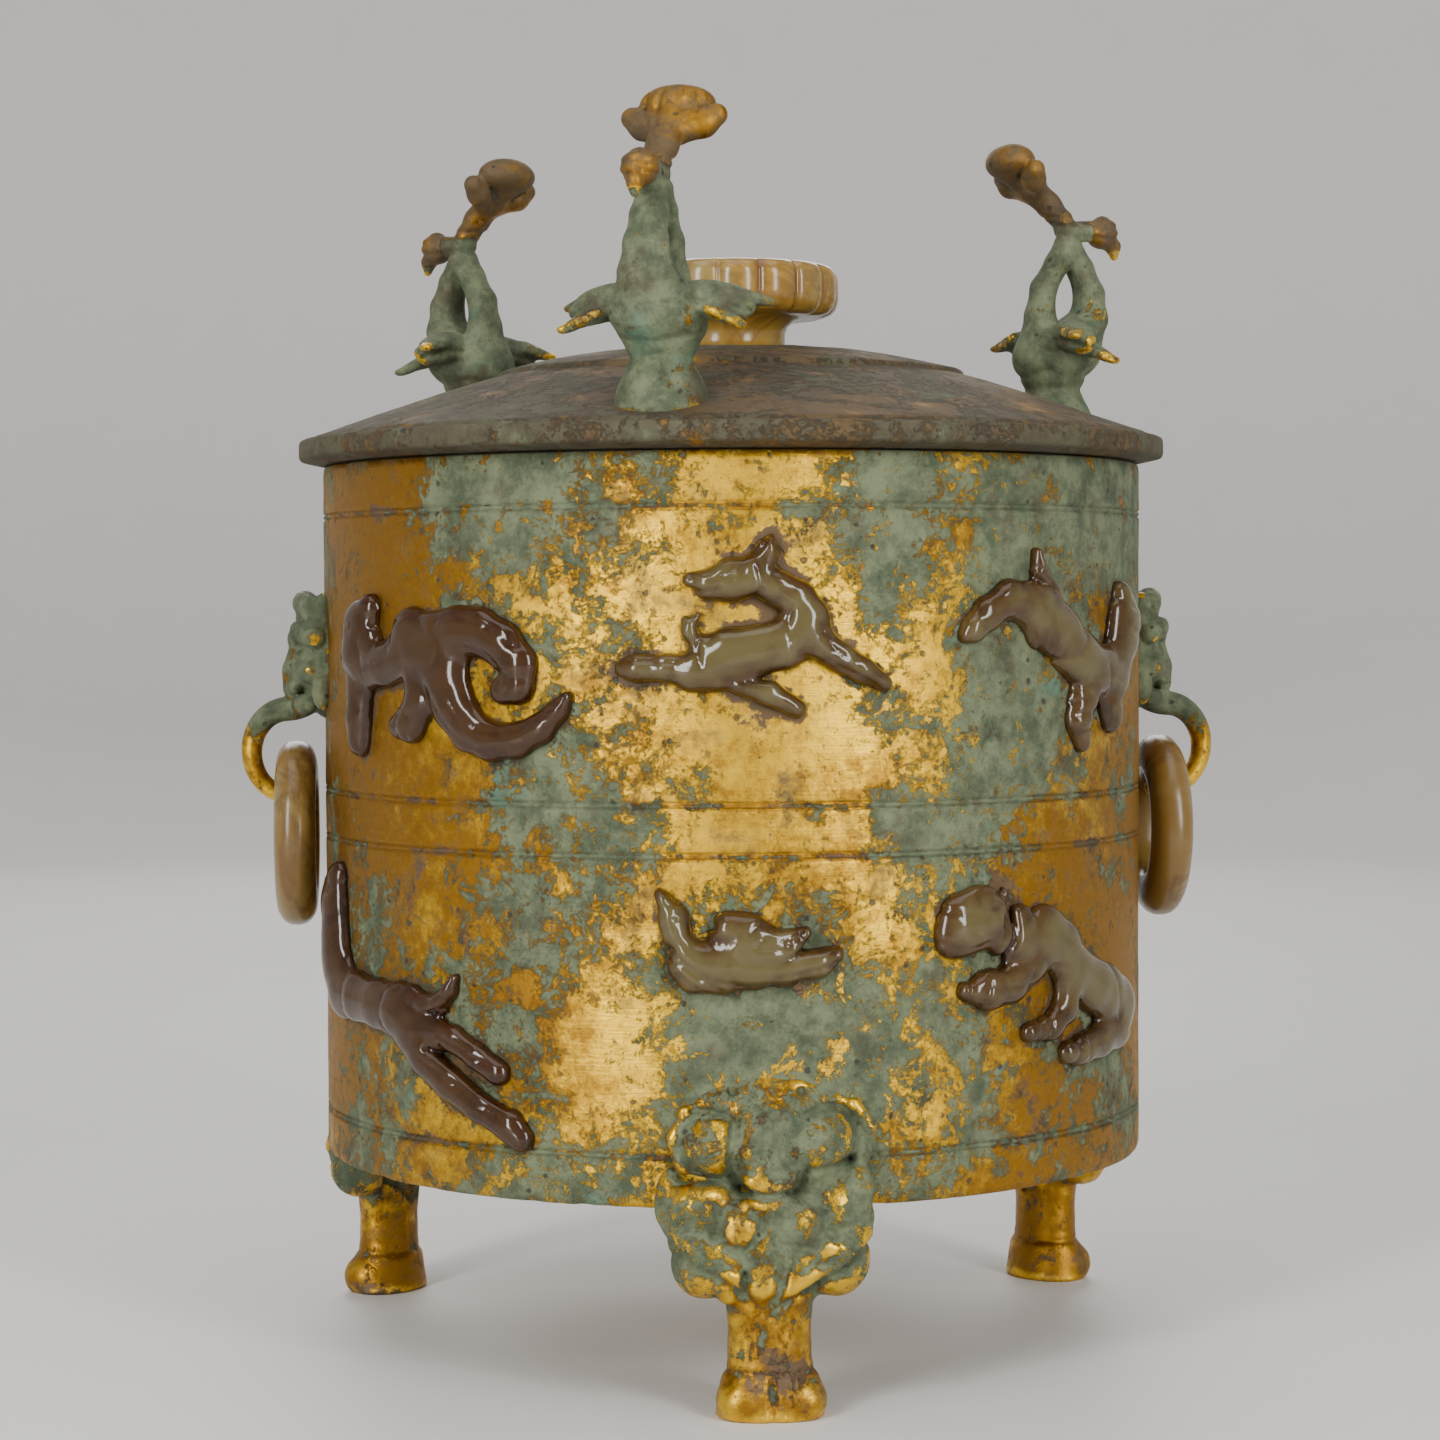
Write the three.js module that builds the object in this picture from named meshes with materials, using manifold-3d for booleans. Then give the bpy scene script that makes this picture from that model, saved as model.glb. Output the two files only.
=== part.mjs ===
// Tripod wine vessel: a gilt bronze cylinder on three bear legs, with a domed lid,
// three birds, two hooks with jade rings, a jade knob and jade beasts set on the wall.
// Millimetres, +Z up. The origin is on the vessel's axis, on the ground.
// The front faces -Y. Angles run from the front towards +X.

import * as THREE from 'three';
import { ConvexGeometry } from 'three/addons/geometries/ConvexGeometry.js';
import { mergeVertices } from 'three/addons/utils/BufferGeometryUtils.js';
import Module from 'manifold-3d';

const wasm = await Module();
wasm.setup();

// Driving dimensions

const wallRadius = 80;
const wallThickness = 3.5;
const floorThickness = 3.5;
const bodyHeight = 133;
const groundClearance = 36.2;
const wallSides = 36;

const grooveWidth = 1.3;
const grooveDepth = 0.5;
const topGrooveDrop = 9.7;
const middleGrooveGap = 8.9;
const middleGrooveRise = 61.8;
const bottomGrooveRise = 9;

const seamGap = 0.3;

const lidOverhang = 4.8;
const lidRimHeight = 4;
const lidSeatGap = 1.1;
const lidRise = 17.3;
const lidThickness = 3;
const lidStepRadius = 46;
const lidStepHeight = 0.9;
const lidSeatRadius = 13;
const collarDepth = 5;
const collarThickness = 2.6;
const collarClearance = 0.6;

const knobRadius = 21.4;
const knobDiscHeight = 10.4;
const knobStemRadius = 11;
const knobStemHeight = 6.6;
const knobEdge = 1.8;
const knobPetals = 16;
const knobPetalDepth = 1.3;

const legHeight = 57;
const legAngles = { leg_front: 0, leg_right: 120, leg_left: -120 };

const birdHeight = 57;
const birdInset = 10.8;
const birdAngles = { bird_front: -15, bird_right: 105, bird_left: -135 };

const maskHeight = 26.5;
const maskWidth = 27;
const maskDepth = 8;
const maskTopDrop = 24.2;
const hookReach = 16.6;
const hookDrop = 39.6;
const hookRod = 4.3;
const hookTipRod = 2.8;
const hookTipGap = 0.5;
const handleAngles = { right: 90, left: -90 };

const ringRadius = 18.1;
const ringHoleRadius = 9.3;
const ringThickness = 8;
const ringWallGap = 1.6;
const ringSides = 16;

const reliefDepth = 3.8;
const reliefRoot = 1.5;
const longLimb = 17;

// Heights and radii that follow from them

const bodyBottom = groundClearance;
const bodyTop = bodyBottom + bodyHeight;
const innerRadius = wallRadius - wallThickness;
const cavityFloor = bodyBottom + floorThickness;
const bottomGroove = bodyBottom + bottomGrooveRise;
const middleGrooveLow = bodyBottom + middleGrooveRise;
const middleGrooveHigh = middleGrooveLow + middleGrooveGap;
const topGroove = bodyTop - topGrooveDrop;
const lowerBand = (bottomGroove + middleGrooveLow) / 2;
const upperBand = (middleGrooveHigh + topGroove) / 2;
const lidRadius = wallRadius + lidOverhang;
const rimBottom = bodyTop + lidSeatGap;
const rimTop = rimBottom + lidRimHeight;
const lidTop = rimTop + lidRise;
const maskTop = bodyTop - maskTopDrop;
const hookTipHeight = maskTop - hookDrop;
const ringMiddleOut = ringWallGap + ringThickness / 2;
const ringMiddleHeight = hookTipHeight + hookTipRod / 2 + hookTipGap - ringHoleRadius;

// Materials

const gilding = new THREE.MeshStandardMaterial({ color: 0xb08a3c, roughness: 0.35, metalness: 0.9 });
const bronze = new THREE.MeshStandardMaterial({ color: 0x76806a, roughness: 0.7, metalness: 0.4 });
const darkJade = new THREE.MeshStandardMaterial({ color: 0x5f553c, roughness: 0.2, metalness: 0 });
const honeyJade = new THREE.MeshStandardMaterial({ color: 0xb28c46, roughness: 0.2, metalness: 0 });

// Solids from geometries, and back

function solidOf(geometry) {
  const bare = geometry.clone();
  bare.deleteAttribute('normal');
  bare.deleteAttribute('uv');
  const merged = mergeVertices(bare, 1e-4);
  const index = merged.index.array;
  const kept = [];
  for (let i = 0; i < index.length; i += 3) {
    const [a, b, c] = [index[i], index[i + 1], index[i + 2]];
    if (a !== b && b !== c && c !== a) kept.push(a, b, c);
  }
  return new wasm.Manifold(new wasm.Mesh({
    numProp: 3,
    vertProperties: new Float32Array(merged.attributes.position.array),
    triVerts: new Uint32Array(kept),
  }));
}

function geometryOf(solid) {
  const mesh = solid.getMesh();
  const geometry = new THREE.BufferGeometry();
  geometry.setAttribute('position', new THREE.BufferAttribute(mesh.vertProperties, 3));
  geometry.setIndex(new THREE.BufferAttribute(mesh.triVerts, 1));
  geometry.computeVertexNormals();
  return geometry;
}

function joinAll(solids) {
  return solids.reduce((whole, solid) => whole.add(solid));
}

// A turned form about the Z axis: the profile is radius, height, and runs bottom, outside, top, inside.
function turned(profile, sides) {
  const points = profile.map(([radius, height]) => new THREE.Vector2(radius, height));
  return solidOf(new THREE.LatheGeometry(points, sides).rotateX(Math.PI / 2));
}

// A rough ellipsoid. Sizes are half widths along X, Y and Z, and its corners stand a tenth beyond them.
function lump(x, y, z, [sizeX, sizeY, sizeZ], tilt = 0) {
  const shape = new THREE.IcosahedronGeometry(1.1, 0).scale(sizeX, sizeY, sizeZ);
  return solidOf(shape.rotateY(tilt).translate(x, y, z));
}

// A tapered bar with blunt ends between two balls, each given as x, y, z and radius.
function bar(from, to, squash = [1, 1, 1]) {
  const cloud = [from, to].flatMap(([x, y, z, radius]) => {
    const ball = new THREE.OctahedronGeometry(radius).scale(...squash).translate(x, y, z);
    return pointsOf(ball);
  });
  return solidOf(new ConvexGeometry(cloud));
}

// The corners of a geometry, each one once.
function pointsOf(geometry) {
  geometry.deleteAttribute('normal');
  geometry.deleteAttribute('uv');
  const place = mergeVertices(geometry, 1e-4).attributes.position;
  const points = [];
  for (let i = 0; i < place.count; i += 1) points.push(new THREE.Vector3().fromBufferAttribute(place, i));
  return points;
}

function chain(stations) {
  const bars = stations.slice(1).map((to, i) => bar(stations[i], to));
  return joinAll(bars);
}

function bothSides(make) {
  return joinAll([make(-1), make(1)]);
}

const radians = THREE.MathUtils.degToRad;

// The space that the vessel fills, with the seam that soldered pieces keep to it.
function vesselSpace(gap) {
  const radius = wallRadius + gap;
  return turned([[0, bodyBottom - gap], [radius, bodyBottom - gap], [radius, rimBottom], [0, rimBottom]], wallSides);
}

// Vessel body

function makeBody() {
  const outside = [[0, bodyBottom], [wallRadius, bodyBottom]];
  for (const height of [bottomGroove, middleGrooveLow, middleGrooveHigh, topGroove]) {
    outside.push([wallRadius, height - grooveWidth / 2]);
    outside.push([wallRadius - grooveDepth, height]);
    outside.push([wallRadius, height + grooveWidth / 2]);
  }
  const inside = [[wallRadius, bodyTop], [innerRadius, bodyTop], [innerRadius, cavityFloor], [0, cavityFloor]];
  return turned([...outside, ...inside], wallSides);
}

// Lid. The dome is a low cone that rounds off at the rim and carries one step line.

function domeHeight(radius) {
  const reach = (lidRadius - radius) / (lidRadius - lidSeatRadius);
  return rimTop + lidRise * Math.sin(Math.min(reach, 1) * Math.PI / 2) ** 1.1;
}

const domeRadii = [
  lidSeatRadius,
  (lidSeatRadius + lidStepRadius) / 2,
  lidStepRadius - lidStepHeight,
  lidStepRadius,
  (lidStepRadius + lidRadius) / 2,
  lidRadius,
];

function domeProfile(lift) {
  const stepped = (radius) => domeHeight(radius) + (radius < lidStepRadius ? lidStepHeight : 0);
  const points = domeRadii.map((radius) => [radius, Math.min(stepped(radius), lidTop) + lift]).reverse();
  return [...points, [0, lidTop + lift]];
}

function makeLid() {
  const collarOuter = innerRadius - collarClearance;
  const collarInner = collarOuter - collarThickness;
  const collarBottom = bodyTop - collarDepth;
  const hollow = [collarInner, lidStepRadius, lidSeatRadius].map((radius) => [radius, domeHeight(radius) - lidThickness]);
  const below = [[0, lidTop - lidThickness], ...hollow.reverse(), [collarInner, collarBottom]];
  const seat = [[collarOuter, collarBottom], [collarOuter, bodyTop + seamGap], [wallRadius, bodyTop + seamGap]];
  return turned([...below, ...seat, [lidRadius, rimBottom], ...domeProfile(0)], wallSides);
}

// Knob: a flared stem under a thick disc with rounded petals.

function makeKnob() {
  const bottom = lidTop + seamGap;
  const discBottom = bottom + knobStemHeight;
  const discTop = discBottom + knobDiscHeight;
  const stem = turned([
    [0, bottom],
    [knobStemRadius, bottom],
    [knobStemRadius, discBottom - knobEdge],
    [knobStemRadius + knobEdge, discBottom + knobEdge / 2],
    [0, discBottom + knobEdge / 2],
  ], knobPetals);
  const disc = new THREE.LatheGeometry([
    [0, discBottom],
    [knobRadius - knobEdge, discBottom],
    [knobRadius, discBottom + knobEdge],
    [knobRadius, discTop - knobEdge],
    [knobRadius - knobEdge, discTop],
    [0, discTop],
  ].map(([radius, height]) => new THREE.Vector2(radius, height)), knobPetals * 3);
  return stem.add(solidOf(scalloped(disc).rotateX(Math.PI / 2)));
}

// Draws in every third column of a turned disc, which leaves petals between.
function scalloped(disc) {
  const place = disc.attributes.position;
  for (let i = 0; i < place.count; i += 1) {
    const angle = Math.atan2(place.getX(i), place.getZ(i));
    const column = Math.round(angle / (2 * Math.PI) * knobPetals * 3);
    const reach = Math.hypot(place.getX(i), place.getZ(i));
    if (column % 3 === 0 && reach > 0) {
      const share = (reach - knobPetalDepth) / reach;
      place.setX(i, place.getX(i) * share);
      place.setZ(i, place.getZ(i) * share);
    }
  }
  return disc;
}

// Bear leg, made at the front. Sizes are shares of its own height, in hundredths.

function makeLeg() {
  const unit = legHeight / 100;
  const blob = (x, out, z, sizes, tilt = 0) => {
    const scaled = sizes.map((size) => size * unit);
    return lump(x * unit, -wallRadius - out * unit, z * unit, scaled, tilt);
  };
  const column = turned([
    [0, 0], [16.4, 0], [17.8, 5], [13.4, 15], [13.2, 28], [16, 46], [0, 46],
  ].map(([radius, height]) => [radius * unit, height * unit]), 8);
  const parts = [
    column.scale([1, 0.74, 1]).translate([0, -wallRadius, 0]),
    blob(0, -0.5, 83, [25, 8.5, 18]),
    blob(0, 6, 72, [8, 5.5, 7]),
    blob(0, 0, 54, [23, 11.5, 18]),
    bothSides((side) => blob(side * 27, 0, 71, [8, 8, 12])),
    bothSides((side) => blob(side * 19.5, 1.5, 47, [9.5, 9.5, 9.5])),
    bothSides((side) => blob(side * 8.5, 4, 8.4, [8, 8, 7.6])),
  ];
  return joinAll(parts).subtract(vesselSpace(seamGap));
}

// Bird, made at the front of the lid. Sizes are shares of its own height, in hundredths.

function makeBird() {
  const unit = birdHeight / 100;
  const standRadius = lidRadius - lidRimHeight - birdInset;
  const foot = domeHeight(standRadius);
  const at = ([x, out, z, radius]) => [x * unit, -standRadius - out * unit, foot + z * unit, radius * unit];
  const limb = (from, to, squash = [1, 1, 1]) => bar(at(from), at(to), squash);
  const stand = turned([
    [0, -8], [16, -8], [15, 1], [11.4, 9], [13, 22], [0, 22],
  ].map(([radius, height]) => [radius * unit, height * unit]), 8);
  const wing = (side) => joinAll([
    limb([side * 9, 1, 29, 7], [side * 32, -2, 25, 2.4], [1, 0.9, 0.45]),
    limb([side * 9, 3, 25, 6], [side * 26, 2, 18, 2.4], [1, 0.9, 0.45]),
  ]);
  const parts = [
    stand.translate([0, -standRadius, foot]),
    lump(0, -standRadius - 2 * unit, foot + 26 * unit, [16 * unit, 17 * unit, 11.5 * unit]),
    limb([0, 12, 30, 9.5], [0, 17.5, 44, 7]),
    limb([0, 17.5, 44, 7], [0, 13.5, 68, 7.2]),
    limb([0, 17, 69, 6.2], [0, 27.5, 67, 2.8]),
    limb([0, 12, 68, 7], [0, -6, 82, 6.6]),
    limb([0, 5, 60, 5], [0, -8, 45, 5]),
    limb([0, -8, 45, 5], [0, -10, 30, 7]),
    limb([0, -6, 82, 6.6], [0, -20, 95, 6.5], [1, 0.6, 0.75]),
    bothSides((side) => limb([0, -9, 84, 6], [side * 11.5, -13, 89, 5.4], [1, 0.5, 0.85])),
    bothSides(wing),
  ];
  const lidSpace = turned([[0, bodyTop], [lidRadius, bodyTop], ...domeProfile(seamGap)], wallSides);
  return joinAll(parts).subtract(lidSpace);
}

// Mask with its hook, made at the front and turned to the side. Sizes are shares of the mask's height.

function makeHandle() {
  const unit = maskHeight / 100;
  const middle = maskTop - maskHeight / 2;
  const at = (x, out, up, radius) => [x * unit, -wallRadius - out * unit, middle + up * unit, radius * unit];
  const snoutOut = 0.69 * maskDepth;
  const snout = snoutOut / unit;
  const eye = (side) => lump(...at(side * 21, 12, -2).slice(0, 3), [9 * unit, 9.8 * unit, 7.5 * unit]);
  const parts = [
    lump(0, -wallRadius, middle + 8 * unit, [0.46 * maskWidth, 15 * unit, 40 * unit]),
    bar(at(0, 6, -4, 21), at(0, snout, -23, 14)),
    bar(at(-19, snout, -17, 9), at(19, snout, -17, 9)),
    bothSides((side) => bar(at(side * 8, 17, 14, 8.3), at(side * 40, 9, 23, 8.3))),
    bothSides((side) => bar(at(side * 30, 4, 32, 11), at(side * 13, 4.5, 41, 9))),
    bothSides(eye),
    hook(middle - 23 * unit, snoutOut),
  ];
  return joinAll(parts).subtract(vesselSpace(seamGap));
}

function hook(rootHeight, rootOut) {
  const outer = hookReach - hookRod / 2;
  const rod = hookRod / 2;
  const tip = hookTipRod / 2;
  const drop = rootHeight - hookTipHeight;
  const stations = [
    [rootOut, rootHeight, rod * 1.2],
    [outer - rod, rootHeight, rod * 1.05],
    [outer, rootHeight - drop * 0.35, rod],
    [outer - rod * 0.4, hookTipHeight + rod, rod * 0.9],
    [ringMiddleOut + ringThickness / 2 - tip / 2, hookTipHeight, tip * 1.05],
    [ringMiddleOut - tip, hookTipHeight, tip],
  ];
  return chain(stations.map(([out, height, radius]) => [0, -wallRadius - out, height, radius]));
}

// Jade ring: a thick ring with a rounded edge, its hole facing the wall.

function makeRing() {
  const half = ringThickness / 2;
  const shoulder = ringHoleRadius + (ringRadius - ringHoleRadius) / 3;
  const profile = [
    [ringHoleRadius, -half * 0.5],
    [shoulder, -half],
    [ringRadius, -half * 0.4],
    [ringRadius, half * 0.4],
    [shoulder, half],
    [ringHoleRadius, half * 0.5],
    [ringHoleRadius, -half * 0.5],
  ];
  const ring = turned(profile, ringSides).rotate([90, 0, 0]);
  return ring.translate([0, -wallRadius - ringMiddleOut, ringMiddleHeight]);
}

// Jade beasts. Each is a few tapered limbs in hundredths of its own length: across, up and
// half width at both ends. They are laid round the wall. Those at the back repeat the front,
// and in the lower row they draw together between the two back legs.

const beasts = {
  deer: {
    length: 47, height: upperBand + 3.8, angle: -2, backAngle: 178,
    limbs: [
      [-22, 20, 5, -7, 20, 9], [-1, 26, 3.5, 5, 36, 1.5], [-7, 20, 8, 14, 17, 6.5], [14, 17, 6.5, 21, 4, 8],
      [21, 0, 9, 47, -18, 3.5], [14, -4, 10, -16, -9, 11.5], [-19, -4, 4, -25.5, 5, 2],
      [-6, -17, 5.5, 15, -28, 4.5], [-20, -13, 9, -47, -13, 4.5],
    ],
  },
  duck: {
    length: 32, height: lowerBand + 9.4, angle: -2.5, backAngle: 177,
    limbs: [
      [-51, 33, 2.5, -44, 18, 8.5], [-43, 17, 9, -39, -7, 9.5], [-38, -8, 11, 0, -12, 10],
      [0, -12, 10, 43, -3, 6], [-8, 11, 13, 14, 4, 8], [14, 5, 7, 28, 15, 2.5],
    ],
  },
  curled_beast: {
    length: 60, height: upperBand - 1.7, angle: -47.5, backAngle: 132.5,
    limbs: [
      [-32, 14, 7, -36, 2, 10], [-33, 0, 8, -5, 4, 9], [-36, -4, 6, -37, -22, 4], [-7, 9, 7, 5, 3, 9.5],
      [-4, -1, 6, -5, -15, 4.5], [-5, -16, 4.5, -15, -19, 4], [4, 5, 8, 18, 9, 5.5], [18, 9, 5.5, 33, -2, 7],
      [8, -2, 6, 15, -14, 5.5], [15, -14, 5.5, 31, -21, 4.5], [31, -21, 4.5, 48, -12, 3],
    ],
  },
  leaping_beast: {
    length: 56, height: upperBand - 1.2, angle: 44, backAngle: -136,
    limbs: [
      [-42, 10, 4, -27, 20, 5], [-27, 20, 5, -8, 14, 8], [-9, 19, 4, -15, 33, 1.8], [-8, 11, 10, 8, 2, 8],
      [8, 2, 8, 30, -7, 9], [32, -5, 9, 42, 13, 10], [14, -3, 6, 8, -27, 3.5], [30, -9, 7, 30, -20, 5.5],
    ],
  },
  running_horse: {
    length: 60, height: lowerBand - 1.6, angle: -54, backAngle: 142,
    limbs: [
      [-43, 33, 6, -44, 20, 6.5], [-44, 20, 6.5, -38, 3, 7], [-38, 2, 7, -12, -4, 6], [-12, -4, 6, 8, -6, 9],
      [8, 1, 4, 23, 9, 2.5], [8, -9, 9, 22, -20, 5.5], [22, -20, 5.5, 48, -34, 4], [14, -9, 5, 46, -23, 3.5],
    ],
  },
  lion: {
    length: 58, height: lowerBand + 2.4, angle: 41.5, backAngle: -147,
    limbs: [
      [-43, 15, 6, -31, 19, 11], [-26, 24, 5, -17, 28, 3], [-30, 16, 10, -4, 13, 10], [-4, 13, 10, 12, -2, 9],
      [12, -2, 9, 38, -10, 10], [2, 8, 8, 3, -13, 5], [3, -13, 5, -12, -16, 3.5], [-6, 7, 6, -34, 0, 5],
      [39, -14, 9, 30, -21, 6], [30, -21, 6, 8, -24, 4.5],
    ],
  },
};

// One flat-topped pad at each end of a limb, as points under and over the wall's face.
function padPoints(across, up, half, beast) {
  const share = beast.length / 100;
  const top = reliefDepth * Math.min(1, 0.5 + half / 18);
  const rings = [[1, -reliefRoot, 5], [0.55, top, 3]];
  return rings.flatMap(([width, depth, corners]) => {
    const points = [];
    for (let corner = 0; corner < corners; corner += 1) {
      const turn = corner * 2 * Math.PI / corners;
      const along = (across + half * width * Math.cos(turn)) * share;
      const height = beast.height + (up + half * width * Math.sin(turn)) * share;
      points.push(onWall(along / wallRadius, depth, height));
    }
    return points;
  });
}

function onWall(angle, depth, height) {
  const radius = wallRadius + depth;
  return new THREE.Vector3(radius * Math.sin(angle), -radius * Math.cos(angle), height);
}

// A limb between two pads. A long one has a third pad midway, so that it follows the wall.
function makeLimb([x1, y1, half1, x2, y2, half2], beast) {
  const span = Math.abs(x2 - x1) * beast.length / 100;
  const shares = span > longLimb ? [0, 0.5, 1] : [0, 1];
  const mix = (from, to, share) => from + (to - from) * share;
  const points = shares.flatMap((share) => (
    padPoints(mix(x1, x2, share), mix(y1, y2, share), mix(half1, half2, share), beast)));
  return solidOf(new ConvexGeometry(points));
}

function makeBeast(beast) {
  const limbs = beast.limbs.map((limb) => makeLimb(limb, beast));
  return (angle) => joinAll(limbs).rotate([0, 0, angle]).subtract(vesselSpace(seamGap));
}

// The whole vessel

const vessel = new THREE.Group();

function addPiece(name, solid, material, angle = 0, home = vessel) {
  const mesh = new THREE.Mesh(geometryOf(solid), material);
  mesh.name = name;
  mesh.rotation.z = radians(angle);
  home.add(mesh);
}

addPiece('vessel_body', makeBody(), gilding);

const leg = makeLeg();
for (const [name, angle] of Object.entries(legAngles)) addPiece(name, leg, gilding, angle);

const handle = makeHandle();
const ring = makeRing();
for (const [side, angle] of Object.entries(handleAngles)) {
  addPiece(`handle_${side}`, handle, bronze, angle);
  addPiece(`ring_${side}`, ring, honeyJade, angle);
}

for (const [name, beast] of Object.entries(beasts)) {
  const inlayAt = makeBeast(beast);
  addPiece(`${name}_front`, inlayAt(beast.angle), darkJade);
  addPiece(`${name}_back`, inlayAt(beast.backAngle), darkJade);
}

const cover = new THREE.Group();
vessel.add(cover);
addPiece('lid', makeLid(), bronze, 0, cover);
addPiece('knob', makeKnob(), honeyJade, 0, cover);
const bird = makeBird();
for (const [name, angle] of Object.entries(birdAngles)) addPiece(name, bird, bronze, angle, cover);

export default vessel;
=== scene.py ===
# %% [markdown]
# # A gilt bronze wine vessel on bear legs
#
# The vessel is a cast cylinder with worn fire gilding over green and brown patina. Jade beasts
# are set on its wall, and its lid carries three birds and a jade knob. This lesson dresses the
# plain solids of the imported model. We work in metres in the frame of that model: Z is up, the
# front leg faces -Y, and angles run from the front towards +X.

import math

import bmesh
import bpy
import numpy as np
import openvdb
from mathutils import Euler, Matrix, Vector


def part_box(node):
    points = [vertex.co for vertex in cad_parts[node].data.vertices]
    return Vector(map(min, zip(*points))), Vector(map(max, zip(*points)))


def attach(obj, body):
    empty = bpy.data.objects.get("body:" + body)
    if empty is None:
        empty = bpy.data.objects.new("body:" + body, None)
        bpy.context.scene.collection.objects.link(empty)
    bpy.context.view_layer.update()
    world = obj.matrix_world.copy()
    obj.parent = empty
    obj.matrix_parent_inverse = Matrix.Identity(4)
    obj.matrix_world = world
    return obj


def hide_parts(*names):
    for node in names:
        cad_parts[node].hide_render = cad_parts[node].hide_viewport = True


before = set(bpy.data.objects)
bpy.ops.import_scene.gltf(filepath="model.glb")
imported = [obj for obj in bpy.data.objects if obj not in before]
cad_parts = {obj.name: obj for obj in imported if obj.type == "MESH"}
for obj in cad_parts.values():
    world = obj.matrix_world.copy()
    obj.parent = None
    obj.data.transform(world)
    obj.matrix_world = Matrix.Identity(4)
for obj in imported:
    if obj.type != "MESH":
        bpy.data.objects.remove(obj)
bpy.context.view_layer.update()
print("frame nodes:", len(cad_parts))

# %% [markdown]
# ## Main sizes
#
# These are sizes of the solids, in millimetres, so that each dressed piece sits exactly where
# its solid is. The ends of the wall and the reach of the lid are asked of the frame. The wall's
# radius, the rim and the double lines are given.

# %% Main sizes in millimetres
MM = 0.001


def size_of(node):
    low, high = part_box(node)
    return np.array(low) / MM, np.array(high) / MM


wall_low, wall_high = size_of("vessel_body")
WALL_RADIUS = 80.0
WALL_BOTTOM, WALL_TOP = wall_low[2], wall_high[2]
GROOVES = [WALL_BOTTOM + 9, WALL_BOTTOM + 61.8, WALL_BOTTOM + 70.7, WALL_TOP - 9.7]
LOWER_BAND = (GROOVES[0] + GROOVES[1]) / 2
UPPER_BAND = (GROOVES[2] + GROOVES[3]) / 2
RIM_BOTTOM = WALL_TOP + 1.1
RIM_TOP = RIM_BOTTOM + 4.0
LID_RADIUS = size_of("lid")[1][0]
LID_TOP = size_of("lid")[1][2]
print("wall", WALL_BOTTOM, "to", WALL_TOP, "lid radius", LID_RADIUS, "lid top", LID_TOP)

# %% [markdown]
# ## Turning and placing
#
# The wall, the lid, the knob and the rings are turned forms. A profile of radius and height goes
# round an axis, with enough columns that the edge looks round. A soft random ripple then takes
# away the look of a new machine part: a cast vessel two thousand years old is never quite true.

# %% Helpers for meshes
def ripple(points, size, seed):
    """Soft random values between -1 and 1, with lumps about as wide as size."""
    lattice = np.random.default_rng(seed).uniform(-1, 1, (32, 32, 32))
    place = np.asarray(points) / size
    cell = np.floor(place).astype(int)
    share = place - cell
    share = share * share * (3 - 2 * share)
    total = np.zeros(len(place))
    for corner in np.ndindex(2, 2, 2):
        weight = np.prod(np.where(corner, share, 1 - share), axis=1)
        i, j, k = ((cell + corner) % 32).T
        total += weight * lattice[i, j, k]
    return total


def turned(profile, columns):
    """Points and faces of a profile of radius and height that goes round the Z axis."""
    radius, height = np.array(profile, float).T
    turn = np.linspace(0, 2 * np.pi, columns, endpoint=False)
    x = np.outer(np.sin(turn), radius)
    y = np.outer(-np.cos(turn), radius)
    z = np.outer(np.ones(columns), height)
    points = np.stack([x, y, z], axis=2).reshape(-1, 3)
    rows = len(radius)
    i, j = np.meshgrid(np.arange(columns), np.arange(rows - 1), indexing="ij")
    after = (i + 1) % columns
    faces = np.stack([i * rows + j, after * rows + j, after * rows + j + 1, i * rows + j + 1], axis=2)
    return points, faces.reshape(-1, 4)


def spun(points, degrees):
    """The points turned about the Z axis, from the front towards +X."""
    turn = math.radians(degrees)
    x, y, z = np.asarray(points).T
    right = x * math.cos(turn) - y * math.sin(turn)
    back = x * math.sin(turn) + y * math.cos(turn)
    return np.stack([right, back, z], axis=1)


def place_piece(name, points, faces, material, nodes, notes=None):
    """Makes one smooth piece from points in millimetres, which stands for its CAD nodes."""
    mesh = bpy.data.meshes.new(name)
    mesh.from_pydata((np.asarray(points) * MM).tolist(), [], np.asarray(faces).tolist())
    for label, values in (notes or {}).items():
        layer = mesh.attributes.new(label, "FLOAT", "POINT")
        layer.data.foreach_set("value", np.asarray(values, np.float32))
    shape = bmesh.new()
    shape.from_mesh(mesh)
    bmesh.ops.remove_doubles(shape, verts=shape.verts, dist=0.01 * MM)
    bmesh.ops.dissolve_degenerate(shape, edges=shape.edges, dist=0.001 * MM)
    shape.to_mesh(mesh)
    shape.free()
    mesh.shade_smooth()
    mesh.materials.append(material)
    piece = bpy.data.objects.new(name, mesh)
    bpy.context.scene.collection.objects.link(piece)
    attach(piece, "root")
    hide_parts(*nodes)
    print(name, len(mesh.polygons), "faces")
    return piece


# %% [markdown]
# ## Clay
#
# Legs, birds, masks and jade beasts are soft, carved forms that flow into each other. Polygons
# pushed about by hand would take days. Instead we model as with clay: a grid holds the distance
# to the surface, limbs and lumps melt into it, and lines are cut in. At the end openvdb lays a
# skin of even quads over it. x runs across, out runs away from the vessel and z runs up.

# %% The clay
FAR = 9.0


def eased(line, rounds=2):
    """Cuts the corners of a line so that it runs in a soft curve."""
    line = np.array(line, float)
    for _ in range(rounds):
        near, far = line[:-1] * 0.75 + line[1:] * 0.25, line[:-1] * 0.25 + line[1:] * 0.75
        inner = np.stack([near, far], axis=1).reshape(-1, line.shape[1])
        line = np.concatenate([line[:1], inner, line[-1:]])
    return line


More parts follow.
